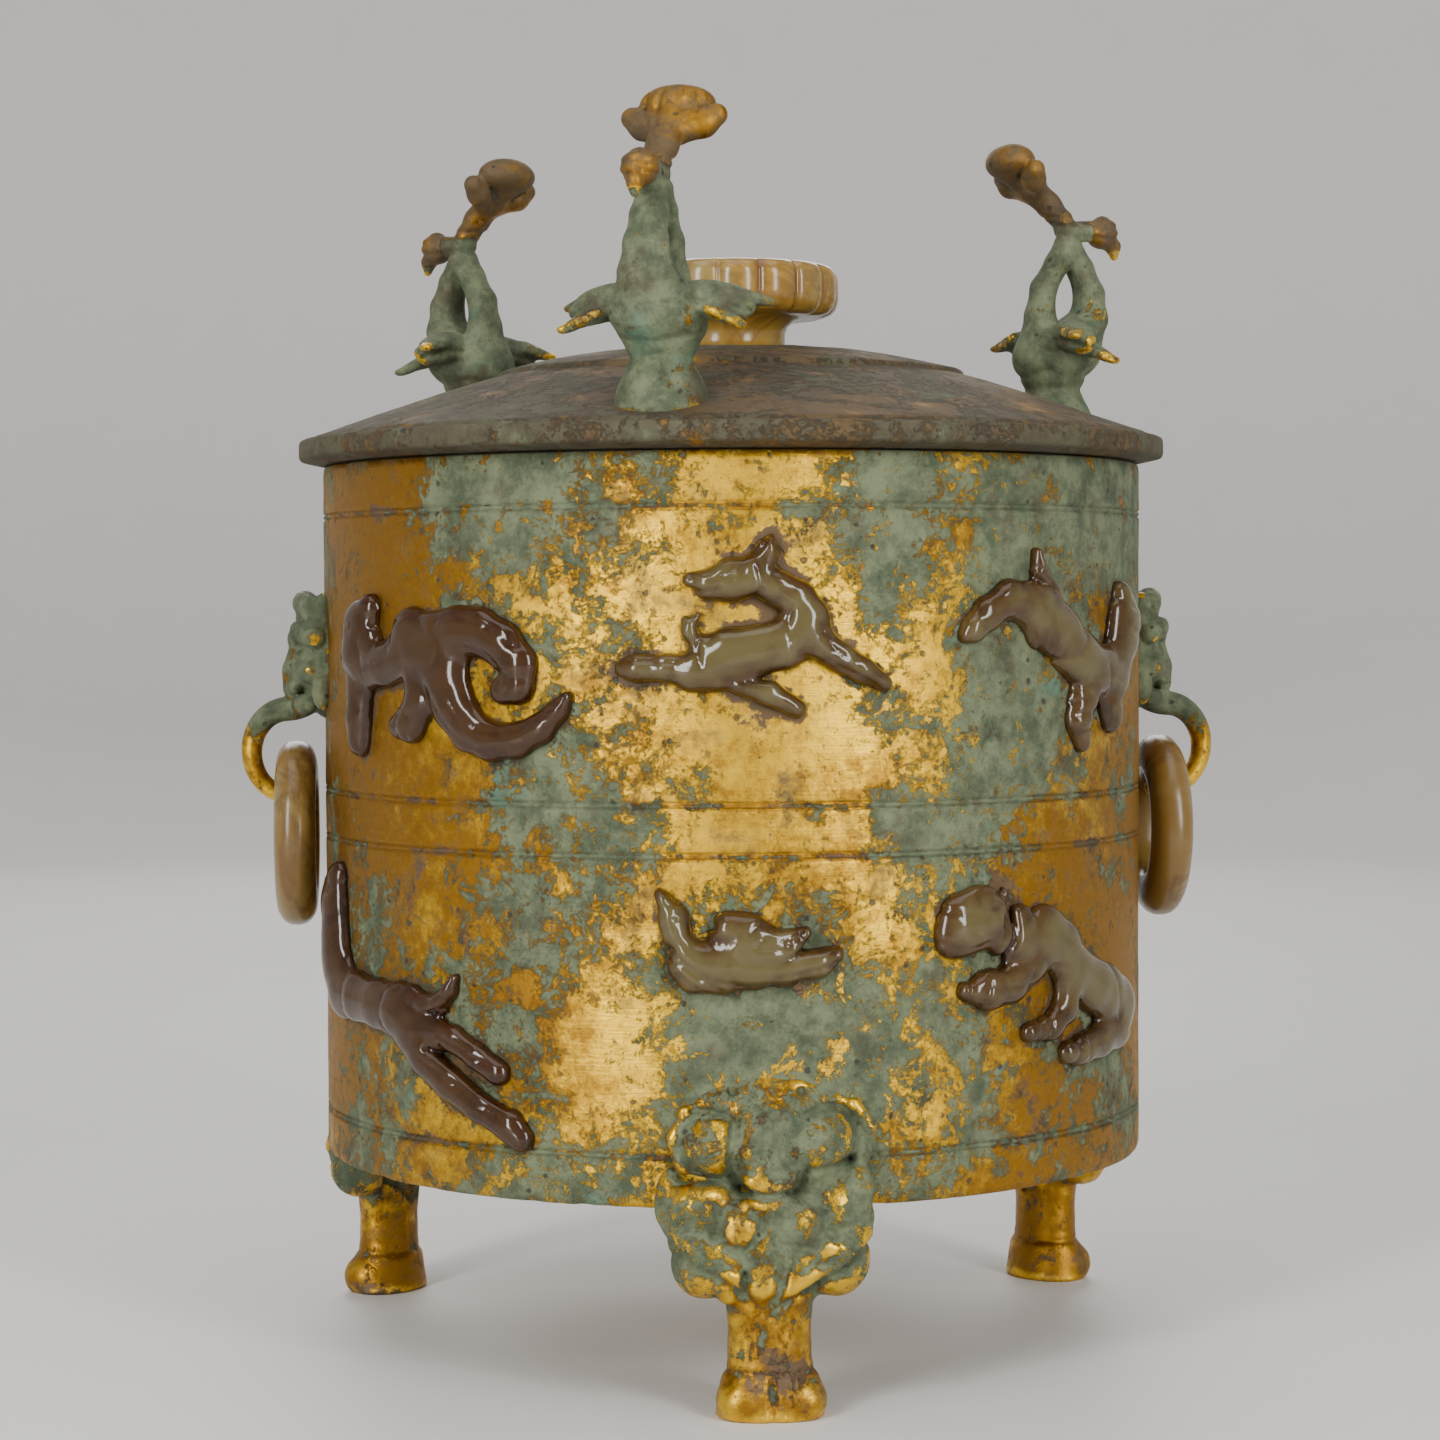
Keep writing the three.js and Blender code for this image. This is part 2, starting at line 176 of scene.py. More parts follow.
class Clay:
    def __init__(self, low, high, unit, cell, relief=0.0):
        """Sizes are in units of so many millimetres. With a relief, limbs lie flat and rise so high."""
        self.unit, self.cell, self.relief = unit, cell, relief
        self.low = np.array(low) * unit - 2 * cell
        self.count = np.ceil((np.array(high) * unit + 2 * cell - self.low) / cell).astype(int) + 1
        self.field = np.full(self.count, FAR, np.float32)

    def window(self, low, high):
        first = np.clip(np.floor((low - self.low) / self.cell).astype(int), 0, self.count - 1)
        last = np.clip(np.ceil((high - self.low) / self.cell).astype(int) + 1, 1, self.count)
        axes = [self.low[k] + self.cell * np.arange(first[k], last[k]) for k in range(3)]
        return tuple(slice(a, b) for a, b in zip(first, last)), np.ix_(*axes)

    def merge(self, part, distance, blend, cut):
        old = self.field[part]
        if cut:
            share = np.clip(0.5 - 0.5 * (old + distance) / blend, 0, 1)
            self.field[part] = old - (distance + old) * share + blend * share * (1 - share)
        else:
            share = np.clip(0.5 + 0.5 * (old - distance) / blend, 0, 1)
            self.field[part] = old + (distance - old) * share - blend * share * (1 - share)

    def limb(self, *stations, blend=0.8, squash=(1, 1, 1), cut=False):
        """A tapered limb through stations of x, out, z and radius, in units."""
        stations = [np.array(s, float) * self.unit for s in stations]
        for a, b in zip(stations, stations[1:]):
            reach = max(a[3], b[3]) * max(squash) + blend + 2 * self.cell
            part, (x, out, z) = self.window(np.minimum(a, b)[:3] - reach, np.maximum(a, b)[:3] + reach)
            step = b[:3] - a[:3] + 1e-6
            along = (x - a[0]) * step[0] + (out - a[1]) * step[1] + (z - a[2]) * step[2]
            share = np.clip(along / (step @ step), 0, 1)
            radius = a[3] + (b[3] - a[3]) * share
            flat = squash[1]
            if self.relief:
                flat = self.relief * np.minimum(1, 0.5 + radius / self.unit / 18) / radius
            gap = (((x - a[0] - share * step[0]) / squash[0]) ** 2
                   + ((out - a[1] - share * step[1]) / flat) ** 2
                   + ((z - a[2] - share * step[2]) / squash[2]) ** 2)
            self.merge(part, np.sqrt(gap) - radius, blend, cut)

    def lump(self, centre, sizes, blend=1.0, tilt=0, cut=False):
        """An egg with half widths along x, out and z, tilted in the x-z plane."""
        centre, sizes = np.array(centre, float) * self.unit, np.array(sizes, float) * self.unit
        wide = max(sizes[0], sizes[2])
        reach = np.array([wide, sizes[1], wide]) + blend + 2 * self.cell
        part, (x, out, z) = self.window(centre - reach, centre + reach)
        turn = math.radians(tilt)
        across = (x - centre[0]) * math.cos(turn) + (z - centre[2]) * math.sin(turn)
        up = (z - centre[2]) * math.cos(turn) - (x - centre[0]) * math.sin(turn)
        away = (out - centre[1]) / sizes[1]
        share = np.sqrt((across / sizes[0]) ** 2 + away ** 2 + (up / sizes[2]) ** 2)
        self.merge(part, (share - 1) * min(sizes), blend, cut)

    def carve(self, line, width=0.5, depth=0.5):
        """Cuts a line of x and z into the front. Its width and depth are in millimetres."""
        line = eased(line) * self.unit
        reach = 3 * width
        low = np.array([line[:, 0].min() - reach, -FAR, line[:, 1].min() - reach])
        high = np.array([line[:, 0].max() + reach, 3 * FAR, line[:, 1].max() + reach])
        part, (x, out, z) = self.window(low, high)
        best = np.full((x.shape[0], 1, z.shape[2]), 1e9)
        for a, b in zip(line[:-1], line[1:]):
            step = b - a + 1e-9
            share = np.clip(((x - a[0]) * step[0] + (z - a[1]) * step[1]) / (step @ step), 0, 1)
            best = np.minimum(best, (x - a[0] - share * step[0]) ** 2 + (z - a[1] - share * step[1]) ** 2)
        self.field[part] += depth * np.exp(-best / width ** 2)

    def ring(self, x, z, radius, width=0.4, depth=0.4):
        turn = np.linspace(0, 2 * np.pi, 13)
        self.carve(np.stack([x + radius * np.cos(turn), z + radius * np.sin(turn)], axis=1), width, depth)

    def cells(self):
        return np.ix_(*[self.low[k] + self.cell * np.arange(self.count[k]) for k in range(3)])

    def skin(self, rounds=1):
        """Points, quads and how proud each point stands: 1 on a crest, 0 in a fold."""
        grid = openvdb.FloatGrid(FAR)
        grid.copyFromArray(np.ascontiguousarray(self.field, np.float32))
        points, faces = grid.convertToQuads(0.0)
        faces = largest_part(len(points), np.asarray(faces, int))
        used, faces = np.unique(faces, return_inverse=True)
        points, faces = np.asarray(points, float)[used], faces.reshape(-1, 4)
        filled = spread((self.field < 0).astype(np.float32), 4)
        i, j, k = np.clip(np.round(points).astype(int), 0, self.count - 1).T
        proud = np.clip(0.5 + 2.2 * (0.47 - filled[i, j, k]), 0, 1)
        points = evened(points * self.cell + self.low, faces, rounds)
        proud = evened(proud[:, None], faces, 3)[:, 0]
        a, b, c = (points[faces[:, n]] for n in range(3))
        if np.einsum("ij,ij->", a, np.cross(b, c)) < 0:
            faces = faces[:, ::-1]
        return points, faces, proud


def evened(values, faces, rounds):
    """Draws the values at the points of a mesh towards those of their neighbours."""
    share = np.bincount(faces.ravel(), minlength=len(values))[:, None]
    for _ in range(rounds):
        middle = values[faces].mean(axis=1)
        near = np.stack([np.bincount(faces.ravel(), np.repeat(middle[:, k], 4), len(values))
                         for k in range(values.shape[1])], axis=1)
        values = 0.4 * values + 0.6 * near / share
    return values


def spread(values, reach):
    """Evens a grid out over so many cells each way."""
    for axis in range(values.ndim):
        total = np.zeros_like(values)
        for step in range(-reach, reach + 1):
            total += np.roll(values, step, axis)
        values = total / (2 * reach + 1)
    return values


def largest_part(count, faces):
    """Only the faces of the largest joined part, so that no crumb is left loose."""
    label = np.arange(count)
    while True:
        low = label[faces].min(axis=1)
        new = label.copy()
        np.minimum.at(new, faces, low[:, None])
        new = new[new]
        if np.array_equal(new, label):
            break
        label = new
    part = label[faces[:, 0]]
    return faces[part == np.bincount(part).argmax()]


def wrapped(points, degrees, radius=WALL_RADIUS):
    """Bends flat points round the wall: x becomes an arc, out becomes distance from the wall's face."""
    x, out, z = points.T
    turn = math.radians(degrees) + x / radius
    return np.stack([(radius + out) * np.sin(turn), -(radius + out) * np.cos(turn), z], axis=1)


def held(values, start, limit):
    """Values beyond the start are pressed softly together, so that none passes the limit."""
    room = limit - start
    return np.where(values > start, start + room * np.tanh((values - start) / room), values)


# %% [markdown]
# ## A board for shader nodes
#
# A material is a recipe, and a recipe should read as a list of steps. The board puts a node
# down, sets it and joins it in one line. Distances in the recipes are real ones, in metres.

# %% The board
class Board:
    def __init__(self, tree):
        self.tree = tree

    def put(self, kind, inputs=None, **settings):
        node = self.tree.nodes.new("ShaderNode" + kind)
        for key, value in settings.items():
            setattr(node, key, value)
        for key, value in (inputs or {}).items():
            self.feed(node.inputs[key], value)
        return node.outputs

    def feed(self, socket, value):
        if isinstance(value, bpy.types.NodeSocket):
            self.tree.links.new(value, socket)
        else:
            socket.default_value = value

    def math(self, job, a, b=0.0):
        return self.put("Math", {0: a, 1: b}, operation=job)[0]

    def total(self, *values):
        result = values[0]
        for value in values[1:]:
            result = self.math("ADD", result, value)
        return result

    def times(self, a, b):
        return self.math("MULTIPLY", a, b)

    def colour(self, share, a, b):
        return self.put("Mix", {0: share, 6: a, 7: b}, data_type="RGBA")[2]

    def between(self, share, a, b):
        return self.put("Mix", {0: share, 2: a, 3: b}, data_type="FLOAT")[0]

    def fade(self, value, low, high):
        return self.put("MapRange", {0: value, 1: low, 2: high}, interpolation_type="SMOOTHSTEP")[0]

    def moved(self, place, shift):
        return self.put("VectorMath", {0: place, 1: (shift, shift * 0.7, -shift)}, operation="ADD")[0]

    def noise(self, place, size, detail=6.0, rough=0.6, shift=0.0, warp=0.0):
        inputs = {"Vector": self.moved(place, shift), "Scale": 1 / size, "Detail": detail,
                  "Roughness": rough, "Distortion": warp}
        return self.put("TexNoise", inputs)[0]

    def note(self, label):
        return self.put("Attribute", attribute_name=label)["Fac"]

    def group(self, name, inputs):
        node = self.tree.nodes.new("ShaderNodeGroup")
        node.node_tree = bpy.data.node_groups[name]
        for key, value in inputs.items():
            self.feed(node.inputs[key], value)
        return node.outputs


def new_group(name, inputs, outputs):
    tree = bpy.data.node_groups.new(name, "ShaderNodeTree")
    for label, kind, value in inputs:
        socket = tree.interface.new_socket(name=label, in_out="INPUT", socket_type="NodeSocket" + kind)
        if value is not None:
            socket.default_value = value
    for label, kind in outputs:
        tree.interface.new_socket(name=label, in_out="OUTPUT", socket_type="NodeSocket" + kind)
    given = tree.nodes.new("NodeGroupInput").outputs
    wanted = tree.nodes.new("NodeGroupOutput").inputs
    return Board(tree), given, wanted


def new_material(name):
    material = bpy.data.materials.new(name)
    material.use_nodes = True
    board = Board(material.node_tree)
    place = board.put("TexCoord")["Object"]
    return material, board, place, material.node_tree.nodes["Principled BSDF"].inputs


# %% [markdown]
# ## Round the wall
#
# Brushing marks run round the vessel and placed patches are easiest to think of as so many
# degrees from the front and so high. One group turns a point into those two numbers.

# %% Group: round the wall
board, given, wanted = new_group("Round the wall", [("Vector", "Vector", None)],
                                 [("Degrees", "Float"), ("Height", "Float"), ("Streak place", "Vector")])
x, y, z = board.put("SeparateXYZ", {0: given["Vector"]})
away = board.times(y, -1.0)
degrees = board.times(board.math("ARCTAN2", x, away), 180 / math.pi)
board.feed(wanted["Degrees"], degrees)
board.feed(wanted["Height"], board.times(z, 1000.0))
streak = board.put("CombineXYZ", {0: board.times(degrees, 0.00006), 1: z, 2: 0.0})[0]
board.feed(wanted["Streak place"], streak)

# %% Group: placed patch
board, given, wanted = new_group("Placed patch", [
    ("Degrees", "Float", 0.0), ("Height", "Float", 0.0), ("Middle degrees", "Float", 0.0),
    ("Middle height", "Float", 100.0), ("Half degrees", "Float", 10.0), ("Half height", "Float", 10.0),
], [("Share", "Float")])
sideways = board.math("SUBTRACT", given["Degrees"], given["Middle degrees"])
upwards = board.math("SUBTRACT", given["Height"], given["Middle height"])
across = board.math("DIVIDE", sideways, given["Half degrees"])
up = board.math("DIVIDE", upwards, given["Half height"])
reach = board.math("ADD", board.times(across, across), board.times(up, up))
board.feed(wanted["Share"], board.math("EXPONENT", board.times(reach, -1.0)))

# %% [markdown]
# ## Gilding and patina
#
# Fire gilding is a thin skin of gold. Where it has gone, copper salts have grown a matt green
# crust. A brown oxide stains and freckles the gold that is left. Proud places are rubbed
# bright and folds hold the green. All bronze on the vessel is this one effect with its own
# values: more green on the lid and the birds, more gold on the wall and the feet.

# %% Group: gilding and patina
board, given, wanted = new_group("Gilding and patina", [
    ("Vector", "Vector", None), ("Green", "Float", 0.0), ("Tarnish", "Float", 0.0), ("Oxide", "Float", 0.0),
    ("Proud", "Float", 0.5), ("Brushing", "Float", 0.5), ("Flakes", "Float", 0.0), ("Dirt", "Float", 0.0),
], [("Color", "Color"), ("Metallic", "Float"), ("Roughness", "Float"), ("Height", "Float")])
BRIGHT_GOLD, DULL_GOLD, GLINT = (0.78, 0.47, 0.03, 1), (0.24, 0.1, 0.01, 1), (0.86, 0.55, 0.05, 1)
DARK_RUST, PALE_RUST = (0.055, 0.03, 0.012, 1), (0.17, 0.1, 0.042, 1)
DARK_MOSS, PALE_MOSS, TURQUOISE = (0.048, 0.066, 0.032, 1), (0.15, 0.175, 0.092, 1), (0.09, 0.18, 0.125, 1)
DAMP_EARTH, DRY_EARTH, PIT = (0.03, 0.022, 0.011, 1), (0.09, 0.068, 0.036, 1), (0.03, 0.025, 0.02, 1)

place = given["Vector"]
fold = board.math("SUBTRACT", 0.5, given["Proud"])
grain = board.noise(place, 0.0012, 4, 0.7)
grain_swing = board.math("SUBTRACT", grain, 0.5)
broad = board.noise(place, 0.03, 8, 0.62, 0.3, 0.5)
middling = board.noise(place, 0.0065, 12, 0.8, 0.9, 0.5)
speckle = board.noise(place, 0.0019, 9, 0.85, 11.3)
speckle_swing = board.math("SUBTRACT", speckle, 0.5)

# Where the green crust has grown, at three sizes of patch, and the gold flakes left in it
green_level = board.total(board.times(broad, 0.5), board.times(middling, 0.62), board.times(speckle, 0.34),
                          -0.23, given["Green"], board.times(fold, 0.32), board.times(grain_swing, 0.12))
green = board.fade(green_level, 0.497, 0.517)
lace = board.noise(place, 0.0075, 9, 0.78, 1.7, 0.4)
flakes = board.fade(board.total(lace, board.times(speckle_swing, 0.3), given["Flakes"]), 0.58, 0.6)
green = board.times(green, board.math("SUBTRACT", 1.0, flakes))
edge = board.math("ABSOLUTE", board.math("SUBTRACT", green_level, 0.5))
border = board.fade(edge, 0.03, 0.0)

# Brown oxide in stains and freckles
stains = board.noise(place, 0.016, 9, 0.72, 2.9)
oxide = board.fade(board.total(stains, given["Oxide"], board.times(border, 0.04)), 0.6, 0.65)
freckles = board.fade(board.noise(place, 0.0032, 8, 0.85, 5.1), 0.555, 0.62)
oxide = board.math("MAXIMUM", oxide, board.times(freckles, 0.75))

# Gold from bright to dull
wide_mottle = board.times(board.noise(place, 0.03, 6, 0.6, 4.2), 0.55)
fine_mottle = board.times(board.noise(place, 0.004, 9, 0.8, 4.9), 0.55)
mottle = board.total(wide_mottle, fine_mottle, -0.05)
tarnish_level = board.total(mottle, given["Tarnish"], board.times(fold, 0.5))
tarnish = board.fade(tarnish_level, 0.42, 0.6)
gold = board.colour(tarnish, BRIGHT_GOLD, DULL_GOLD)
gold = board.colour(board.times(grain, 0.25), gold, GLINT)

# The colours laid over each other, and the dirt and the pits on top
rust = board.colour(board.noise(place, 0.006, 5, 0.6, 6.3), DARK_RUST, PALE_RUST)
moss_share = board.fade(board.noise(place, 0.006, 10, 0.75, 7.7), 0.36, 0.64)
moss = board.colour(moss_share, DARK_MOSS, PALE_MOSS)
moss = board.colour(board.fade(board.noise(place, 0.02, 6, 0.6, 8.8), 0.6, 0.76), moss, TURQUOISE)
shade = board.colour(oxide, gold, rust)
shade = board.colour(green, shade, moss)
dirt = board.fade(board.total(board.noise(place, 0.011, 9, 0.7, 9.4), given["Dirt"]), 0.52, 0.72)
earth = board.colour(grain, DAMP_EARTH, DRY_EARTH)
shade = board.colour(board.times(dirt, 0.85), shade, earth)
pit_cells = board.put("TexVoronoi", {"Vector": board.moved(place, 3.3), "Scale": 330.0})
chosen = board.fade(board.put("SeparateColor", {0: pit_cells["Color"]})[0], 0.82, 0.85)
pit_reach = board.total(pit_cells["Distance"], board.times(grain_swing, 0.5))
pits = board.times(board.fade(pit_reach, 0.2, 0.08), chosen)
shade = board.colour(board.times(pits, 0.85), shade, PIT)
board.feed(wanted["Color"], shade)

# Metal where the gold is bare, and rough where it is covered
metal = board.between(oxide, 1.0, 0.35)
metal = board.between(board.math("MAXIMUM", green, board.times(dirt, 0.8)), metal, 0.04)
board.feed(wanted["Metallic"], board.times(metal, board.math("SUBTRACT", 1.0, board.times(pits, 0.8))))
streaks = board.group("Round the wall", {"Vector": place})["Streak place"]
rubbed = board.times(board.noise(streaks, 0.0005, 3, 0.6), given["Brushing"])
rough = board.total(0.22, board.times(tarnish, 0.12), board.times(rubbed, 0.16), board.times(grain, 0.12))
rough = board.between(oxide, rough, 0.55)
covered = board.math("MAXIMUM", green, board.times(dirt, 0.7))
board.feed(wanted["Roughness"], board.between(covered, rough, 0.8))

# The crust stands a little higher than the gold
crust = board.total(board.times(green, 0.55), board.times(oxide, 0.25), board.times(border, 0.2))
fine = board.total(board.times(grain, 0.5), board.times(rubbed, 0.5))
corroded = board.times(board.noise(place, 0.002, 6, 0.72, 10.1), board.times(green, 1.3))
height = board.total(crust, board.times(fine, 0.7), board.times(pits, -1.4), board.times(lace, 0.5), corroded)
board.feed(wanted["Height"], height)
print("gilding group", len(board.tree.nodes), "nodes")


# %% [markdown]
# ## Bronze finishes
#
# Each bronze piece gets its own material, with the shared effect inside. The wall is the piece
# one looks at longest, so its green and its tarnish are placed: bright gold at the middle, green
# left and right of it and round the leg masks, orange towards the flanks and the lower right.

# %% Bronze materials
def bronze(name, steer, tarnish=0.0, oxide=0.0, flakes=0.0, brushing=0.0, dirt=0.0, proud=True):
    """A bronze finish. Steer sets the values that change over the piece, the green first of all."""
    material, board, place, shader = new_material(name)
    values = {"Vector": place, "Tarnish": tarnish, "Oxide": oxide, "Flakes": flakes,
              "Brushing": brushing, "Dirt": dirt}
    if proud:
        values["Proud"] = board.note("proud")
    steer(board, place, values)
    skin = board.group("Gilding and patina", values)
    for label, socket in (("Base Color", "Color"), ("Metallic", "Metallic"), ("Roughness", "Roughness")):
        board.feed(shader[label], skin[socket])
    bump = board.put("Bump", {"Height": skin["Height"], "Distance": 0.00022, "Strength": 1.0})
    board.feed(shader["Normal"], bump[0])
    return material


def patches(board, place, listed, start):
    """Adds placed patches of degrees, height, half degrees, half height and weight to a start value."""
    wall = board.group("Round the wall", {"Vector": place})
    total = start
    for middle, height, half, tall, weight in listed:
        share = board.group("Placed patch", {
            "Degrees": wall["Degrees"], "Height": wall["Height"], "Middle degrees": middle,
            "Middle height": height, "Half degrees": half, "Half height": tall})["Share"]
        total = board.total(total, board.times(share, weight))
    return total


WALL_GREEN = [
    (-36, 162, 9, 9, 0.24), (14, 158, 7, 22, 0.14), (0, 60, 15, 14, 0.24), (42, 130, 16, 34, 0.08),
    (-28, 112, 16, 12, 0.07), (60, 160, 20, 12, 0.18), (-64, 160, 14, 9, -0.08), (20, 104, 14, 7, 0.1),
    (31, 126, 7, 16, 0.1),
    (120, 60, 15, 14, 0.24), (-120, 60, 15, 14, 0.24), (0, 135, 16, 24, -0.11), (-22, 66, 8, 18, -0.07),
    (48, 116, 12, 20, -0.05),
    (-60, 120, 16, 26, -0.12), (165, 150, 20, 16, 0.2), (-150, 80, 20, 22, 0.14),
]
WALL_TARNISH = [
    (-75, 110, 18, 60, 0.3), (55, 70, 22, 30, 0.26), (78, 110, 16, 60, 0.2), (0, 130, 18, 34, -0.12),
    (-14, 70, 14, 20, -0.1), (-35, 70, 10, 22, 0.12), (-62, 155, 16, 16, 0.25), (150, 90, 40, 50, 0.12),
]


# Each steer function sets the values of one piece by place, and each height in it is in millimetres
def steer_wall(board, place, values):
    setting = board.note("setting")
    grooves = board.note("groove")
    values["Green"] = patches(board, place, WALL_GREEN, -0.02)
    values["Tarnish"] = patches(board, place, WALL_TARNISH, 0.03)
    values["Oxide"] = board.total(board.times(setting, 0.15), board.times(grooves, 0.1))
    values["Proud"] = board.math("SUBTRACT", 0.5, board.times(grooves, 0.12))


def steer_bird(board, place, values):
    wall = board.group("Round the wall", {"Vector": place})
    high = board.fade(wall["Height"], 217.0, 224.0)
    bare = board.math("MAXIMUM", high, board.note("beak"))
    values["Green"] = board.between(bare, 0.13, -0.14)
    values["Tarnish"] = board.between(bare, 0.1, 0.5)
    values["Dirt"] = board.between(bare, 0.05, 0.17)


def steer_handle(board, place, values):
    wall = board.group("Round the wall", {"Vector": place})
    hook = board.fade(wall["Height"], 122.0, 114.0)
    values["Green"] = board.between(hook, 0.17, -0.06)


def steer_lid(board, place, values):
    wall = board.group("Round the wall", {"Vector": place})
    rim = board.fade(wall["Height"], RIM_TOP + 1.2, RIM_TOP - 0.2)
    values["Green"] = board.between(rim, 0.0, 0.03)
    values["Flakes"] = board.between(rim, -0.04, 0.01)
    values["Oxide"] = board.between(rim, 0.1, 0.04)


def steer_leg(board, place, values):
    wall = board.group("Round the wall", {"Vector": place})
    head = board.fade(wall["Height"], 16.0, 30.0)
    values["Green"] = board.between(head, -0.05, 0.035)
    values["Tarnish"] = board.between(head, 0.12, 0.03)


gilded_wall = bronze("gilded wall", steer_wall, brushing=1.0, proud=False)
leg_bronze = bronze("leg bronze", steer_leg, oxide=0.03)
lid_bronze = bronze("lid bronze", steer_lid, tarnish=0.3, brushing=0.6, dirt=0.24, proud=False)
bird_bronze = bronze("bird bronze", steer_bird, oxide=0.02, flakes=-0.05)
handle_bronze = bronze("handle bronze", steer_handle, tarnish=0.12, flakes=-0.02)
print("bronze materials:", 5)

# %% [markdown]
# ## Jade
#
# The jade is old and dark: olive brown and glossy, with cloudy grey-green places. Two designs
# are darker and redder, and the knob and the rings are honey coloured. On the inlays, high
# places are painted in the colour of the clouds as a painted highlight, and low places and
# edges in that of the veins as a painted shade; on the knob the grooves between the petals get
# this painted shade. The light goes a short way into the stone, which the subsurface weight of
# the shader gives.

# %% Jade materials
board, given, wanted = new_group("Jade clouds", [("Vector", "Vector", None), ("Size", "Float", 1.0)],
                                 [("Clouds", "Float"), ("Veins", "Float"), ("Grain", "Float")])
place = board.put("VectorMath", {0: given["Vector"], "Scale": given["Size"]}, operation="SCALE")[0]
board.feed(wanted["Clouds"], board.fade(board.noise(place, 0.012, 6, 0.55, 1.1, 0.8), 0.35, 0.7))
veins = board.math("ABSOLUTE", board.math("SUBTRACT", board.noise(place, 0.016, 6, 0.6, 2.2, 1.2), 0.5))
board.feed(wanted["Veins"], board.fade(veins, 0.06, 0.0))
board.feed(wanted["Grain"], board.noise(place, 0.0016, 5, 0.7, 3.7))


def jade(name, body, cloud_and_highlight, vein_and_shade, size=1.0, gloss=0.05, clouding=0.8, note="proud", painted_highlight=0.0):
    """A polished jade, whose high places take the clouds' colour as a painted highlight, by the share the
    last argument gives, and whose low places take the veins' colour as a painted shade.
    """
    material, board, place, shader = new_material(name)
    stone = board.group("Jade clouds", {"Vector": place, "Size": size})
    shade = board.colour(board.times(stone["Clouds"], clouding), body, cloud_and_highlight)
    shade = board.colour(board.times(stone["Veins"], 0.5), shade, vein_and_shade)
    # Painted light and shade: high places are painted pale in the colour of the clouds, a painted highlight,
    # and low places and edges dark in the colour of the veins, a painted shade.
    if note:
        cloud_swing = board.math("SUBTRACT", stone["Clouds"], 0.5)
        high = board.total(board.note(note), board.times(cloud_swing, 0.25))
        shade = board.colour(board.times(board.fade(high, 0.55, 0.95), painted_highlight), shade, cloud_and_highlight)
        shade = board.colour(board.fade(high, 0.42, 0.12), shade, vein_and_shade)
    board.feed(shader["Base Color"], shade)
    board.feed(shader["Roughness"], board.total(gloss, board.times(stone["Grain"], 0.1)))
    bump = board.put("Bump", {"Height": stone["Grain"], "Distance": 0.00004, "Strength": 0.5})
    board.feed(shader["Normal"], bump[0])
    shader["Subsurface Weight"].default_value = 0.25
    shader["Subsurface Radius"].default_value = (1.0, 0.7, 0.35)
    shader["Subsurface Scale"].default_value = 0.002
    return material


dark_jade = jade("dark jade", (0.058, 0.026, 0.005, 1), (0.108, 0.086, 0.03, 1), (0.018, 0.006, 0.0015, 1),
                 clouding=0.3, painted_highlight=0.9)
brown_jade = jade("brown jade", (0.04, 0.014, 0.003, 1), (0.05, 0.022, 0.005, 1), (0.014, 0.004, 0.001, 1),
                  clouding=0.3, painted_highlight=0.9)
honey_jade = jade("honey jade", (0.34, 0.195, 0.03, 1), (0.24, 0.19, 0.065, 1), (0.15, 0.065, 0.015, 1),
                  size=0.7, gloss=0.14, clouding=0.9)
ring_jade = jade("ring jade", (0.19, 0.105, 0.022, 1), (0.22, 0.16, 0.05, 1), (0.08, 0.035, 0.01, 1),
                 size=0.8, gloss=0.2, note="")
print("jade materials:", 4)

# %% [markdown]
# ## Jade beasts
#
# Twelve inlays sit on the wall in two rows. Each is a thin slab carved into a beast: a deer that
# runs and looks back, a duck, a curled beast, a leaping beast, a horse and a lion. They are built
# flat in the clay, in hundredths of their own length, and bent round the wall afterwards. The
# back of each is sunk half a millimetre into the wall, as an inlay's is.

